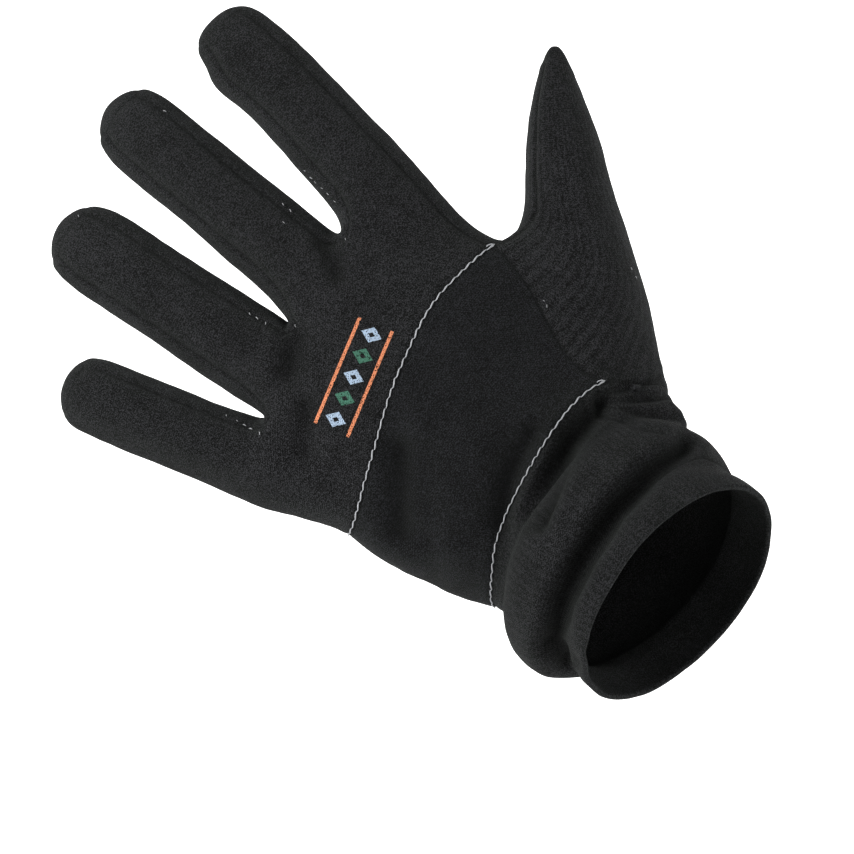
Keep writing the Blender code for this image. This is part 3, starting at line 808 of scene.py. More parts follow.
def panel_borders(corners, panels, count):
    """Which points lie on a seam, and which on the open edge of the mouth."""
    lowest = np.full(count, 99)
    highest = np.full(count, -1)
    for k in range(4):
        np.minimum.at(lowest, corners[:, k], panels)
        np.maximum.at(highest, corners[:, k], panels)
    edges = np.concatenate([corners[:, [k, (k + 1) % 4]] for k in range(4)])
    edges.sort(axis=1)
    pairs, uses = np.unique(edges, axis=0, return_counts=True)
    mouth = np.zeros(count, bool)
    mouth[pairs[uses == 1].ravel()] = True
    return (lowest != highest) & (highest >= 0), mouth


def seam_distance(points, seam, reach):
    """How far each point is from the nearest seam, up to the given reach."""
    tree = KDTree(int(seam.sum()))
    for number, index in enumerate(np.nonzero(seam)[0]):
        tree.insert(points[index], number)
    tree.balance()
    far = np.full(len(points), reach)
    for index, point in enumerate(points):
        far[index] = min(tree.find(point)[2], reach)
    return far


def shaped_skin(settings):
    """The fine skin with its folds, seams and unevenness, and the painted shade in its folds and
    along its seams.
    """
    skin, tips = fine_skin(settings.smoothness)
    points, corners, panels, knit, normals = mesh_arrays(skin)
    bpy.data.meshes.remove(skin)
    seam, mouth = panel_borders(corners, panels, len(points))
    press = furrows(points, normals, settings.fold_strength)
    small = SMALL_WAVE_SHARE * unevenness(points, SMALL_WAVE, 2)
    press -= settings.unevenness * (unevenness(points, LARGE_WAVE, 1) + small)
    far = seam_distance(points, seam, 0.008)
    pucker = 1 + 0.5 * unevenness(points, PUCKER_SIZE, 3)
    to_tip = np.min([np.linalg.norm(points - np.array(tip), axis=1) for tip in tips], axis=0)
    drawn = pucker * np.clip((to_tip - TIP_FADE) / TIP_FADE, TIP_SEAM, 1)
    press += settings.seam_depth * drawn * np.exp(-(far / settings.seam_width) ** 2)
    share, place, wide = SEAM_RIDGE
    press -= settings.seam_depth * share * drawn * np.exp(-((far - place) / wide) ** 2)
    # Painted shade: the knit's colour darker in the folds, by their depth, and along the seams
    painted_crease_shade = np.clip(press / FULL_SHADE_DEPTH, 0, 1) * FOLD_SHADE
    painted_seam_shade = np.clip(drawn * SEAM_SHADE - 0.05, 0, 1) * np.exp(-(far / SEAM_SHADE_WIDTH) ** 2)
    painted_crease_shade = np.maximum(painted_crease_shade, painted_seam_shade)
    points = points - normals * press[:, None]
    return points, corners, panels, knit, point_normals(points, corners), seam, mouth, painted_crease_shade


def panel_piece(name, shape, materials):
    """One panel of the skin as a wall of the knit's thickness, rounded at the open edge."""
    points, corners, panels, knit, normals, seam, mouth, painted_crease_shade = shape
    mine = panels == PANEL_NUMBER[name]
    faces, knit = corners[mine], knit[mine]
    used, local = np.unique(faces, return_inverse=True)
    local = local.reshape(-1, 4)
    count = len(used)
    outer, normal = points[used], normals[used]

    # Each border point steps a little into its own panel, so that no two panels touch
    inwards = np.zeros((count, 3))
    centres = outer[local].mean(axis=1)
    for k in range(4):
        np.add.at(inwards, local[:, k], centres - outer[local[:, k]])
    inwards -= normal * (inwards * normal).sum(axis=1)[:, None]
    inwards /= np.maximum(np.linalg.norm(inwards, axis=1), 1e-9)[:, None]
    outer = outer + inwards * (seam[used] * SEAM_GAP)[:, None]
    inner = outer - normal * WALL

    # The rim's edges are those that only one of the panel's faces has
    edges = np.concatenate([local[:, [k, (k + 1) % 4]] for k in range(4)])
    places = np.concatenate([knit[:, [k, (k + 1) % 4]] for k in range(4)])
    _, index, uses = np.unique(
        np.sort(edges, axis=1), axis=0, return_index=True, return_counts=True)
    rims, rim_knit = edges[index[uses == 1]], places[index[uses == 1]]
    open_rim = mouth[used][rims].all(axis=1)
    rounds = 5 if open_rim.any() else 1
    layers = [outer, inner]
    middle, half = (outer + inner) / 2, (outer - inner) / 2
    for turn in range(1, rounds):
        angle = math.pi * turn / rounds
        bulge = inwards * WALL * 0.5 * math.sin(angle)
        layers.insert(turn, middle + half * math.cos(angle) - bulge)
    last = rounds * count
    polygons = [tuple(face) for face in local] + [tuple(face[::-1] + last) for face in local]
    uvs = [knit.reshape(-1, 2), knit[:, ::-1].reshape(-1, 2)]
    for (a, b), uv, is_open in zip(rims, rim_knit, open_rim):
        steps = range(rounds) if is_open else (0,)
        for turn in steps:
            low, high = turn * count, (turn + 1) * count if is_open else last
            polygons.append((b + low, a + low, a + high, b + high))
            uvs.append(uv[[1, 0, 0, 1]])
    piece = new_object("knit_" + name, np.concatenate(layers), polygons, *materials)
    mesh = piece.data
    layer = mesh.uv_layers.new(name="knit")
    layer.data.foreach_set("uv", np.concatenate(uvs).astype(np.float32).ravel())
    # The painted shade of the folds and seams, kept on each point for the knit's colour
    shaded = mesh.attributes.new("painted_crease_shade", "FLOAT", "POINT")
    shaded.data.foreach_set("value", np.tile(painted_crease_shade[used], rounds + 1).astype(np.float32))
    slots = np.ones(len(polygons), np.int32)
    slots[:len(local)] = 0
    if open_rim.any():
        slots[2 * len(local):] = 0
    mesh.polygons.foreach_set("material_index", slots)
    drop_points(mesh, loose_points(mesh))
    mesh.shade_smooth()
    mesh.set_sharp_from_angle(angle=math.radians(55))
    return piece


def loose_points(mesh):
    """The points of a mesh that no face uses."""
    used = np.zeros(len(mesh.vertices), bool)
    corners = np.empty(len(mesh.loops), np.int32)
    mesh.loops.foreach_get("vertex_index", corners)
    used[corners] = True
    return np.nonzero(~used)[0]


def drop_points(mesh, loose):
    """The mesh without the points that no face uses."""
    if len(loose) == 0:
        return
    work = bmesh.new()
    work.from_mesh(mesh)
    work.verts.ensure_lookup_table()
    bmesh.ops.delete(work, geom=[work.verts[index] for index in loose], context="VERTS")
    work.to_mesh(mesh)
    work.free()


# Shaders


class Value:
    """A socket that can be used in sums, which add their Math nodes to the tree."""

    def __init__(self, tree, socket):
        self.tree = tree
        self.socket = socket

    def maths(self, operation, *others):
        node = self.tree.nodes.new("ShaderNodeMath")
        node.operation = operation
        for slot, other in enumerate(others):
            if isinstance(other, Value):
                self.tree.links.new(other.socket, node.inputs[slot])
            else:
                node.inputs[slot].default_value = other
        return Value(self.tree, node.outputs[0])

    def __add__(self, other):
        return self.maths("ADD", self, other)

    def __radd__(self, other):
        return self.maths("ADD", other, self)

    def __sub__(self, other):
        return self.maths("SUBTRACT", self, other)

    def __rsub__(self, other):
        return self.maths("SUBTRACT", other, self)

    def __mul__(self, other):
        return self.maths("MULTIPLY", self, other)

    def __rmul__(self, other):
        return self.maths("MULTIPLY", other, self)

    def __truediv__(self, other):
        return self.maths("DIVIDE", self, other)

    def __abs__(self):
        return self.maths("ABSOLUTE", self)

    def fract(self):
        return self.maths("FRACT", self)

    def below(self, limit):
        return self.maths("LESS_THAN", self, limit)

    def above(self, limit):
        return self.maths("GREATER_THAN", self, limit)


class Graph:
    """A node tree that is put together node by node."""

    def __init__(self, tree):
        self.tree = tree

    def node(self, kind, settings=None, inputs=None):
        """A node with its settings made first, and then the values or links of its sockets."""
        node = self.tree.nodes.new(kind)
        for key, value in (settings or {}).items():
            setattr(node, key, value)
        for key, value in (inputs or {}).items():
            self.feed(node.inputs[key], value)
        return node

    def feed(self, socket, value):
        if isinstance(value, Value):
            value = value.socket
        if isinstance(value, bpy.types.NodeSocket):
            self.tree.links.new(value, socket)
        else:
            socket.default_value = value


class Finish(Graph):
    """A material and the nodes of its tree."""

    def __init__(self, name):
        self.material = bpy.data.materials.new(name)
        self.material.use_nodes = True
        super().__init__(self.material.node_tree)
        self.shader = self.tree.nodes["Principled BSDF"]

    def value(self, node, output=0):
        return Value(self.tree, node.outputs[output])

    def knit_place(self):
        """The place in the knit: across the wales and along the courses, in metres."""
        place = self.node("ShaderNodeUVMap", {"uv_map": "knit"})
        parts = self.node("ShaderNodeSeparateXYZ", inputs={"Vector": place.outputs["UV"]})
        return self.value(parts, 0), self.value(parts, 1)

    def object_place(self):
        place = self.node("ShaderNodeTexCoord")
        parts = self.node("ShaderNodeSeparateXYZ", inputs={"Vector": place.outputs["Object"]})
        return place.outputs["Object"], [self.value(parts, axis) for axis in range(3)]

    def speckle(self, place, scale, detail):
        return self.value(self.node("ShaderNodeTexNoise", inputs={
            "Vector": place, "Scale": scale, "Detail": detail}))

    def blend(self, share, first, second):
        """The colour that lies this share of the way from the first to the second."""
        mix = self.node("ShaderNodeMix", {"data_type": "RGBA"}, {0: share, 6: first, 7: second})
        return mix.outputs[2]

    def bump(self, height, distance, strength):
        bump = self.node("ShaderNodeBump", inputs={
            "Height": height, "Distance": distance, "Strength": strength})
        self.tree.links.new(bump.outputs["Normal"], self.shader.inputs["Normal"])

    def constants(self, **values):
        for key, value in values.items():
            self.shader.inputs[key.replace("_", " ")].default_value = value


def shade(colour, factor):
    """A colour made lighter or darker."""
    return tuple(channel * factor for channel in colour[:3]) + (1.0,)


def knit_finish(name, settings, colour, ribs=0.0, printed=False):
    """Fine black knit: rows of slanted loops with loose fibres, and faint ribs, with painted shade
    between the loops and ribs, in the folds and along the seams.
    """
    finish = Finish(name)
    place, (x, _, z) = finish.object_place()
    wales, courses = finish.knit_place()
    waver = finish.speckle(place, WAVER_SCALE, 2.0) - 0.5
    wales = (wales + waver * WALE_WAVER) / settings.wale
    courses = (courses + waver * COURSE_WAVER) / settings.course
    leg = abs(wales.fract() - 0.5) * 2
    strand = 1 - abs((courses + leg * LOOP_LEAN).fract() - 0.5) * 2
    loops = strand * (1.15 - abs(leg - 0.5))
    fibres = finish.speckle(place, FIBRE_SCALE, 2.0)
    patches = finish.speckle(place, PATCH_SCALE, 2.0)
    height = loops * LOOP_HEIGHT + fibres * FIBRE_HEIGHT
    rib = 1 - abs((wales / WALES_PER_RIB).fract() - 0.5) * 2
    height = height + rib * ribs
    # Lighter on the loops and ribs and darker between them, a painted shade of the knit's relief;
    # the loose fibres and patches are the knit's own lighter and darker tone
    light = loops * LOOP_PAINTED_SHADE + (fibres - 0.5) * FIBRE_CONTRAST
    light = light + (patches - 0.5) * PATCH_CONTRAST + (rib - 0.5) * ribs - 0.02
    # Painted shade: the knit darker in the folds and along the seams
    painted_crease_shade = finish.node("ShaderNodeAttribute", {"attribute_name": "painted_crease_shade"})
    light = light * (1 - finish.value(painted_crease_shade, 2) * CREASE_PAINTED_SHADE)
    base = finish.blend(light, shade(colour, DARK_SHADE), shade(colour, LIGHT_SHADE))
    if printed:
        base = add_print(finish, base, x, z, settings, fibres)
    finish.feed(finish.shader.inputs["Base Color"], base)
    smooth, rough = KNIT_ROUGHNESS
    finish.feed(finish.shader.inputs["Roughness"], smooth + fibres * (rough - smooth))
    finish.bump(height, KNIT_BUMP, 1.0)
    finish.constants(
        Sheen_Weight=settings.fuzz, Sheen_Roughness=0.5, Sheen_Tint=KNIT_SHEEN,
        Specular_IOR_Level=0.10)
    return finish.material


def add_print(finish, base, x, z, settings, fibres):
    """A plain band of small diamonds between two thin bars, rubbed thin by the fibres."""
    turn = math.radians(PRINT_SLOPE)
    dx, dz = x - PRINT_CENTRE[0], z - PRINT_CENTRE[1]
    along = dx * math.cos(turn) + dz * math.sin(turn)
    up = dz * math.cos(turn) - dx * math.sin(turn)
    ends = (abs(along) - PRINT_LENGTH / 2).below(0)
    bars = (abs(abs(up) - PRINT_HEIGHT / 2) - PRINT_BAR).below(0) * ends
    step = along / PRINT_STEP
    point = abs((step + 0.5).fract() - 0.5) * PRINT_STEP
    away = point + abs(up) * DIAMOND_FLAT
    diamonds = (away - PRINT_STEP * DIAMOND_HALF).below(0)
    diamonds = diamonds * (away - PRINT_STEP * DIAMOND_HOLE).above(0) * ends
    second = (((step + 0.5) / 2).fract() - 0.5).above(0)
    worn = fibres.above(PRINT_WEAR)
    blue, green, orange = (
        shade(colour, 1.0)
        for colour in (settings.print_blue, settings.print_green, settings.print_orange)
    )
    base = finish.blend(bars * worn * PRINT_COVER, base, orange)
    return finish.blend(diamonds * worn * PRINT_COVER, base, finish.blend(second, blue, green))


def thread_finish(name, colour):
    """Pale twisted sewing thread with a soft sheen."""
    finish = Finish(name)
    place, _ = finish.object_place()
    fibres = finish.speckle(place, THREAD_FIBRE_SCALE, 2.0)
    dark, light = (shade(colour, factor) for factor in THREAD_SHADES)
    finish.feed(finish.shader.inputs["Base Color"], finish.blend(fibres, dark, light))
    finish.feed(finish.shader.inputs["Roughness"], 0.55 + fibres * 0.25)
    finish.bump(fibres, THREAD_BUMP, 0.7)
    finish.constants(Sheen_Weight=0.3, Sheen_Roughness=0.4)
    return finish.material


# The thread


def stitch_tree():
    """A tree that sets a stitch on every point of a row, lying along the row."""
    tree = bpy.data.node_groups.new("stitches_along_a_row", "GeometryNodeTree")
    sockets = (
        ("Geometry", "Geometry"), ("Stitch", "Object"), ("Turn", "Float"),
        ("Uneven Turn", "Float"), ("Uneven Size", "Float"), ("Seed", "Int"), ("Thread", "Material"),
    )
    for name, kind in sockets:
        tree.interface.new_socket(name, in_out="INPUT", socket_type="NodeSocket" + kind)
    tree.interface.new_socket("Geometry", in_out="OUTPUT", socket_type="NodeSocketGeometry")
    graph = Graph(tree)
    start = graph.node("NodeGroupInput").outputs

    def maths(operation, a, b):
        return graph.node("ShaderNodeMath", {"operation": operation}, {0: a, 1: b}).outputs[0]

    def direction(name):
        node = graph.node(
            "GeometryNodeInputNamedAttribute", {"data_type": "FLOAT_VECTOR"}, {"Name": name})
        return node.outputs["Attribute"]

    def uneven(amount, seed_step):
        """A random number between minus and plus the amount."""
        low, seed = maths("MULTIPLY", amount, -1), maths("ADD", start["Seed"], seed_step)
        node = graph.node(
            "FunctionNodeRandomValue", {"data_type": "FLOAT"}, {2: low, 3: amount, "Seed": seed})
        return node.outputs[1]

    lie = graph.node(
        "FunctionNodeAxesToRotation", {"primary_axis": "Z", "secondary_axis": "X"},
        {"Primary Axis": direction("up"), "Secondary Axis": direction("along")})
    angle = maths("ADD", start["Turn"], uneven(start["Uneven Turn"], 1))
    turn = graph.node("FunctionNodeAxisAngleToRotation", inputs={"Axis": (0, 0, 1), "Angle": angle})
    turned = graph.node("FunctionNodeRotateRotation", {"rotation_space": "LOCAL"},
                        {0: lie.outputs[0], 1: turn.outputs[0]})
    stitch = graph.node("GeometryNodeObjectInfo", inputs={"Object": start["Stitch"]})
    places = graph.node("GeometryNodeInstanceOnPoints", inputs={
        "Points": start["Geometry"], "Instance": stitch.outputs["Geometry"],
        "Rotation": turned.outputs[0], "Scale": maths("ADD", uneven(start["Uneven Size"], 2), 1)})
    realize = graph.node("GeometryNodeRealizeInstances", inputs={0: places.outputs[0]})
    coat = graph.node("GeometryNodeSetMaterial", inputs={
        "Geometry": realize.outputs[0], "Material": start["Thread"]})
    graph.node("NodeGroupOutput", inputs={0: coat.outputs[0]})
    return tree


def thread_piece(name, path, radii, *materials):
    """A closed tube of thread along a path, with a radius at each point."""
    sides = THREAD_SIDES
    path = np.array(path)
    steps = np.gradient(path, axis=0)
    steps /= np.linalg.norm(steps, axis=1)[:, None]
    points, faces = [], []
    for place, step, radius in zip(path, steps, radii):
        side = np.cross((0, 0, 1), step)
        side /= np.linalg.norm(side)
        high = np.cross(step, side)
        for k in range(sides):
            angle = 2 * math.pi * k / sides
            points.append(place + radius * (math.cos(angle) * side + math.sin(angle) * high))
    for ring in range(len(path) - 1):
        for k in range(sides):
            a, b = ring * sides + k, ring * sides + (k + 1) % sides
            faces.append((a, b, b + sides, a + sides))
    faces.append(tuple(range(sides))[::-1])
    faces.append(tuple(range((len(path) - 1) * sides, len(path) * sides)))
    piece = new_object(name, points, faces, *materials)
    piece.data.shade_smooth()
    return piece


def seam_stitch(settings):
    """A long slightly swollen stitch that slants over the seam, and the short flat link
    that dips to the start of the next one, lying along X with +Z away from the knit."""
    length, thick = settings.stitch_length, settings.thread_thickness
    rise = length * STITCH_RISE
    path = [(x * length, y * rise, (z - STITCH_SINK) * thick) for x, y, z, _ in STITCH_PLACES]
    return thread_piece("seam_stitch", path, [radius * thick for *_, radius in STITCH_PLACES])


def short_stitch(settings):
    """A short stitch that comes out of the knit and goes in again."""
    thick = settings.thread_thickness * SHORT_THIN
    path = [(x * SHORT_LENGTH, 0, z * thick) for x, z, _ in SHORT_PLACES]
    return thread_piece("short_stitch", path, [radius * thick for *_, radius in SHORT_PLACES])


def end_loop(name, place, along, up, settings, material):
    """The small hooked loop that a seam's thread ends in."""
    thick = settings.thread_thickness
    up = up / np.linalg.norm(up)
    along = along / np.linalg.norm(along)
    side = np.cross(up, along)
    path = [
        place + (along * a + side * b) * END_LOOP_SIZE + up * (c * thick + END_LOOP_LIFT)
        for a, b, c in END_LOOP_PLACES
    ]
    return thread_piece(name, path, [thick * END_LOOP_RADIUS] * len(path), material)


def seam_path(shape, first, second):
    """The places along the back of a seam between two panels, in order from the thumb side."""
    points, corners, panels, _, normals = shape[:5]
    touching = [set(corners[panels == PANEL_NUMBER[name]].ravel()) for name in (first, second)]
    both = np.array(sorted(touching[0] & touching[1]))
    both = both[normals[both, 1] < BACK_LEAN]
    both = both[np.argsort(-points[both, 0])]
    return points[both], normals[both]


def even_places(points, normals, spacing):
    """Places a given spacing apart along a row of points, each with its direction and up."""
    steps = np.linalg.norm(np.diff(points, axis=0), axis=1)
    far = np.concatenate([[0], np.cumsum(steps)])
    at = np.arange(spacing / 2, far[-1], spacing)

    def values_at(values, places):
        return np.stack([np.interp(places, far, values[:, axis]) for axis in range(3)], axis=1)

    ahead = values_at(points, at + spacing / 4) - values_at(points, at - spacing / 4)
    return values_at(points, at), ahead, values_at(normals, at)


def sew(name, places, along, ups, lift, inputs):
    """Stitches on the given places, as one piece of thread."""
    ups_length = np.linalg.norm(ups, axis=1)[:, None]
    row = new_object(name, places + ups / ups_length * lift, [])
    mesh = row.data
    for key, values in (("along", along), ("up", ups)):
        layer = mesh.attributes.new(key, "FLOAT_VECTOR", "POINT")
        layer.data.foreach_set("vector", values.astype(np.float32).ravel())
    tree = bpy.data.node_groups.get("stitches_along_a_row") or stitch_tree()
    sewing = row.modifiers.new("sewing", "NODES")
    sewing.node_group = tree
    for item in tree.interface.items_tree:
        if item.in_out == "INPUT" and item.name in inputs:
            sewing[item.identifier] = inputs[item.name]
    graph = bpy.context.evaluated_depsgraph_get()
    sewn = bpy.data.meshes.new_from_object(row.evaluated_get(graph))
    if not len(sewn.polygons):
        raise RuntimeError(name + " has no stitches")
    row.modifiers.remove(sewing)
    row.data = sewn
    bpy.data.meshes.remove(mesh)
    return row


# The settings, the steps and the panel


class KnitSettings(bpy.types.PropertyGroup):
    """The knit's sizes and colours."""

    knit_colour: bpy.props.FloatVectorProperty(
        name="Knit Colour", description="Colour of the fine knit", subtype="COLOR", size=3,
        default=(0.0127, 0.0128, 0.0140), min=0, max=1)
    # Partly the back panel's own darker knit, partly painted shade of the middle of the back
    back_colour_and_shade: bpy.props.FloatVectorProperty(
        name="Back Colour", description="Colour of the knit between the two stitched seams",
        subtype="COLOR", size=3, default=(0.0079, 0.0081, 0.0093), min=0, max=1)
    rib_colour: bpy.props.FloatVectorProperty(
        name="Rib Colour", description="Colour of the cuff's rib knit", subtype="COLOR", size=3,
        default=(0.0112, 0.0113, 0.0123), min=0, max=1)
    wale: bpy.props.FloatProperty(
        name="Wale", description="Width of one column of loops", default=0.00085,
        min=0.0003, max=0.004, unit="LENGTH", precision=5)
    course: bpy.props.FloatProperty(
        name="Course", description="Height of one row of loops", default=0.00065,
        min=0.0003, max=0.004, unit="LENGTH", precision=5)
    fuzz: bpy.props.FloatProperty(
        name="Fuzz", description="How much the loose fibres catch the light", default=0.05,
        min=0, max=1, subtype="FACTOR")
    print_blue: bpy.props.FloatVectorProperty(
        name="Print Blue", description="First colour of the printed band's diamonds",
        subtype="COLOR", size=3, default=(0.50, 0.64, 0.82), min=0, max=1)
    print_green: bpy.props.FloatVectorProperty(
        name="Print Green", description="Second colour of the printed band's diamonds",
        subtype="COLOR", size=3, default=(0.075, 0.22, 0.15), min=0, max=1)
    print_orange: bpy.props.FloatVectorProperty(
        name="Print Orange", description="Colour of the printed band's bars",
        subtype="COLOR", size=3, default=(0.95, 0.33, 0.16), min=0, max=1)


class ShapeSettings(bpy.types.PropertyGroup):
    """The folds and seams."""

    smoothness: bpy.props.IntProperty(
        name="Smoothness", description="How often the cage is subdivided", default=4, min=2, max=5)
    fold_strength: bpy.props.FloatProperty(
        name="Fold Strength", description="Depth of the folds in the back", default=1.0,
        min=0, max=2, subtype="FACTOR")
    unevenness: bpy.props.FloatProperty(
        name="Unevenness", description="Height of the soft waves of a worn knit",
        default=0.00035, min=0, max=0.002, unit="LENGTH", precision=5)
    seam_depth: bpy.props.FloatProperty(
        name="Seam Depth", description="How deep the seams are drawn in", default=0.0003,
        min=0, max=0.002, unit="LENGTH", precision=5)
    seam_width: bpy.props.FloatProperty(
        name="Seam Width", description="Half the width of a seam's groove", default=0.0008,
        min=0.0004, max=0.004, unit="LENGTH", precision=5)


class ThreadSettings(bpy.types.PropertyGroup):
    """The light thread of the two seams over the back."""

    thread_colour: bpy.props.FloatVectorProperty(
        name="Thread Colour", description="Colour of the light thread", subtype="COLOR",
        size=3, default=(0.42, 0.43, 0.45), min=0, max=1)
    stitch_length: bpy.props.FloatProperty(
        name="Stitch Length", description="Distance from stitch to stitch", default=0.0032,
        min=0.001, max=0.01, unit="LENGTH", precision=5)
    thread_thickness: bpy.props.FloatProperty(
        name="Thread Thickness", description="Thickness of the thread", default=0.00039,
        min=0.0002, max=0.002, unit="LENGTH", precision=5)
    thread_lift: bpy.props.FloatProperty(
        name="Thread Lift", description="How far the thread stands off the bottom of the seam",
        default=0.00045, min=0, max=0.002, unit="LENGTH", precision=5)
    slant: bpy.props.FloatProperty(
        name="Slant", description="How far a stitch is turned off the line of the seam",
        default=math.radians(2), min=-1, max=1, unit="ROTATION")
    seed: bpy.props.IntProperty(
        name="Seed", description="Fixes the unevenness of the stitches", default=11, min=0)


class StageSettings(bpy.types.PropertyGroup):
    """The floor, the backdrop and the lights."""

    floor_height: bpy.props.FloatProperty(
        name="Floor Height", description="Height of the floor below the glove's cuff",
        default=-0.6, min=-3, max=-0.05, unit="LENGTH")
    key_power: bpy.props.FloatProperty(
        name="Key Light", description="Power of the main soft light", default=12.0, min=0,
        unit="POWER")
    fill_power: bpy.props.FloatProperty(
        name="Fill Light", description="Power of the second soft light", default=5.0, min=0,
        unit="POWER")
    daylight: bpy.props.FloatProperty(
        name="Daylight", description="Brightness of the white surroundings", default=0.36,
        min=0, max=5)


SHAPE = {}


class GLOVE_OT_knit_panels(bpy.types.Operator):
    """Make the ten knitted panels from the glove's skin"""

    bl_idname = "glove.knit_panels"
    bl_label = "Knit Panels"

    def execute(self, context):
        scene = context.scene
        knit = scene.glove_knit
        fine, rib = tuple(knit.knit_colour), tuple(knit.rib_colour)
        fine_knit = knit_finish("fine_black_knit", knit, fine)
        printed_knit = knit_finish("printed_black_knit", knit, fine, printed=True)
        rib_knit = knit_finish("black_rib_knit", knit, rib, ribs=0.25)
        thumb_knit = knit_finish("faintly_ribbed_knit", knit, fine, ribs=0.3)
        # The back of the hand: partly its own darker knit, partly painted shade
        back_knit_and_shade = knit_finish("darker_knit_and_painted_shade_of_the_back", knit, tuple(knit.back_colour_and_shade))
        # The inside of the glove: a copy of the outer knit made darker, a painted shade
        inside = knit_finish("painted_shade_inside_of_the_knit", knit, shade(fine, 0.8)[:3])
        SHAPE["skin"] = shaped_skin(scene.glove_shape)
        for name in PANELS:
            outside = rib_knit if name in RIB_PANELS else fine_knit
            if name == "back_of_fingers":
                outside = printed_knit
            elif name == "back_of_hand":
                outside = back_knit_and_shade
            elif name.startswith("thumb"):
                outside = thumb_knit
            piece = panel_piece(name, SHAPE["skin"], (outside, inside))
            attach(piece, "root")
            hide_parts(name)
        for name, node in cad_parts.items():
            node.data.materials.clear()
            node.data.materials.append(rib_knit if name in RIB_PANELS else fine_knit)
        return {"FINISHED"}


class GLOVE_OT_seam_thread(bpy.types.Operator):
    """Sew the two seams over the back, and the small stitches on the fingers and thumb"""

    bl_idname = "glove.seam_thread"
    bl_label = "Seam Thread"

    def execute(self, context):
        settings = context.scene.glove_thread
        if "skin" not in SHAPE:
            raise RuntimeError("the knit panels are made before the thread")
        thread = thread_finish("light_sewing_thread", tuple(settings.thread_colour))
        stitch, short = seam_stitch(settings), short_stitch(settings)
        seams = (
            ("knuckle_seam_thread", "back_of_hand", "back_of_fingers"),
            ("wrist_seam_thread", "back_of_hand", "cuff"),
        )
        sewn = []
        for number, (name, first, second) in enumerate(seams):
            points, normals = seam_path(SHAPE["skin"], first, second)
            rows = even_places(points, normals, settings.stitch_length)
            sewn.append(sew(name, *rows, settings.thread_lift, {
                "Stitch": stitch, "Turn": settings.slant, "Uneven Turn": 0.05,
                "Uneven Size": 0.04, "Seed": settings.seed + number, "Thread": thread}))
            places, ahead, ups = rows
            sewn.append(end_loop(name + "_end", places[0], ahead[0], ups[0], settings, thread))
        points, normals = SHAPE["skin"][0], SHAPE["skin"][4]
        back = np.nonzero(normals[:, 1] < -0.2)[0]
        nearest = [
            back[np.argmin(np.linalg.norm(points[back][:, [0, 2]] * 1000 - place, axis=1))]
            for place in np.array(CROTCH_STITCHES)
        ]
        along = np.tile(SHORT_ALONG, (len(nearest), 1))
        sewn.append(sew("crotch_stitches", points[nearest], along, normals[nearest],
                        settings.thread_lift, {
                            "Stitch": short, "Turn": 0.0, "Uneven Turn": 0.7,
                            "Uneven Size": 0.25, "Seed": settings.seed + 2, "Thread": thread}))
        for piece in sewn:
            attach(piece, "root")
        for helper in (stitch, short):
            bpy.data.objects.remove(helper)
        return {"FINISHED"}


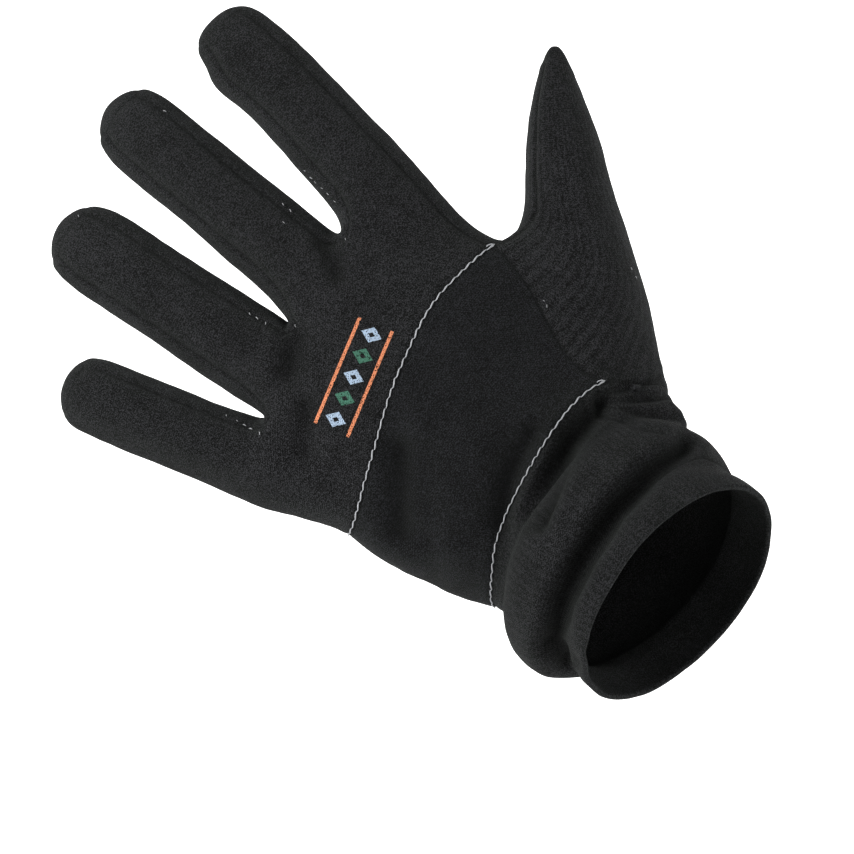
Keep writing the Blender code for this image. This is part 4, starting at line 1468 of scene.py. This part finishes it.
class GLOVE_OT_stage(bpy.types.Operator):
    """Set up the pale floor, the backdrop, the soft lights and the camera"""

    bl_idname = "glove.stage"
    bl_label = "Stage"

    def execute(self, context):
        scene = context.scene
        settings = scene.glove_stage
        paper = Finish("white_paper")
        place, _ = paper.object_place()
        grain = paper.speckle(place, 40.0, 2.0)
        paper.feed(paper.shader.inputs["Base Color"],
                   paper.blend(grain, (0.90, 0.90, 0.90, 1), (0.93, 0.93, 0.93, 1)))
        paper.constants(Emission_Color=(1, 1, 1, 1), Emission_Strength=0.85, Roughness=1.0)
        low = settings.floor_height
        sheets = (
            ("floor", ((-3, -2.5, low), (3, -2.5, low), (3, 1.6, low), (-3, 1.6, low))),
            ("backdrop", ((-3, 1.6, low), (3, 1.6, low), (3, 1.6, 2.5), (-3, 1.6, 2.5))),
        )
        for name, corners in sheets:
            new_object(name, corners, [(0, 1, 2, 3)], paper.material)
        world = bpy.data.worlds.new("white_room")
        world.use_nodes = True
        sky = world.node_tree.nodes["Background"].inputs
        sky["Color"].default_value = (1, 1, 1, 1)
        sky["Strength"].default_value = settings.daylight
        scene.world = world
        right, up, back = camera_axes()
        aim = Vector(CAMERA_AIM)
        lights = (
            ("key_light", settings.key_power, 0.5, back * 0.45 + up * 0.25 - right * 0.75),
            ("fill_light", settings.fill_power, 1.0, back * 0.9 - up * 0.2 + right * 1.0),
        )
        for name, power, size, away in lights:
            light = bpy.data.lights.new(name, "AREA")
            light.energy, light.size = power, size
            holder = bpy.data.objects.new(name, light)
            facing = away.to_track_quat("Z", "Y").to_matrix().to_4x4()
            holder.matrix_world = Matrix.Translation(aim + away) @ facing
            scene.collection.objects.link(holder)
        lens = bpy.data.cameras.new("camera")
        lens.sensor_width = 36
        lens.lens = 36 * CAMERA_DISTANCE / VIEW_WIDTH
        camera = bpy.data.objects.new("camera", lens)
        turned = Matrix((right, up, back)).transposed().to_4x4()
        camera.matrix_world = Matrix.Translation(aim + back * CAMERA_DISTANCE) @ turned
        scene.collection.objects.link(camera)
        scene.camera = camera
        scene.view_settings.view_transform = "Standard"
        return {"FINISHED"}


def camera_axes():
    """The directions right, up and back of the photograph, which turns the glove."""
    turn = math.radians(CAMERA_TURN)
    right = Vector((math.sin(turn), 0, -math.cos(turn)))
    up = Vector((math.cos(turn), 0, math.sin(turn)))
    return right, up, Vector((0, -1, 0))


class GLOVE_PT_sidebar(bpy.types.Panel):
    """The glove liner's steps and settings"""

    bl_idname = "GLOVE_PT_sidebar"
    bl_label = "Glove Liner"
    bl_space_type = "VIEW_3D"
    bl_region_type = "UI"
    bl_category = "Glove Liner"

    def draw(self, context):
        for step in STEPS:
            self.layout.operator(step.bl_idname)
        for name, group in SETTINGS:
            box = self.layout.box()
            for key in group.__annotations__:
                box.prop(getattr(context.scene, name), key)


SETTINGS = (
    ("glove_knit", KnitSettings), ("glove_shape", ShapeSettings),
    ("glove_thread", ThreadSettings), ("glove_stage", StageSettings),
)
STEPS = (GLOVE_OT_knit_panels, GLOVE_OT_seam_thread, GLOVE_OT_stage)
CLASSES = tuple(group for _, group in SETTINGS) + STEPS + (GLOVE_PT_sidebar,)


def register():
    for item in CLASSES:
        bpy.utils.register_class(item)
    for name, group in SETTINGS:
        setattr(bpy.types.Scene, name, bpy.props.PointerProperty(type=group))


def unregister():
    for name, _ in SETTINGS:
        delattr(bpy.types.Scene, name)
    for item in reversed(CLASSES):
        bpy.utils.unregister_class(item)


def main():
    register()
    bpy.ops.glove.knit_panels()
    bpy.ops.glove.seam_thread()
    bpy.ops.glove.stage()


if __name__ == "__main__":
    main()
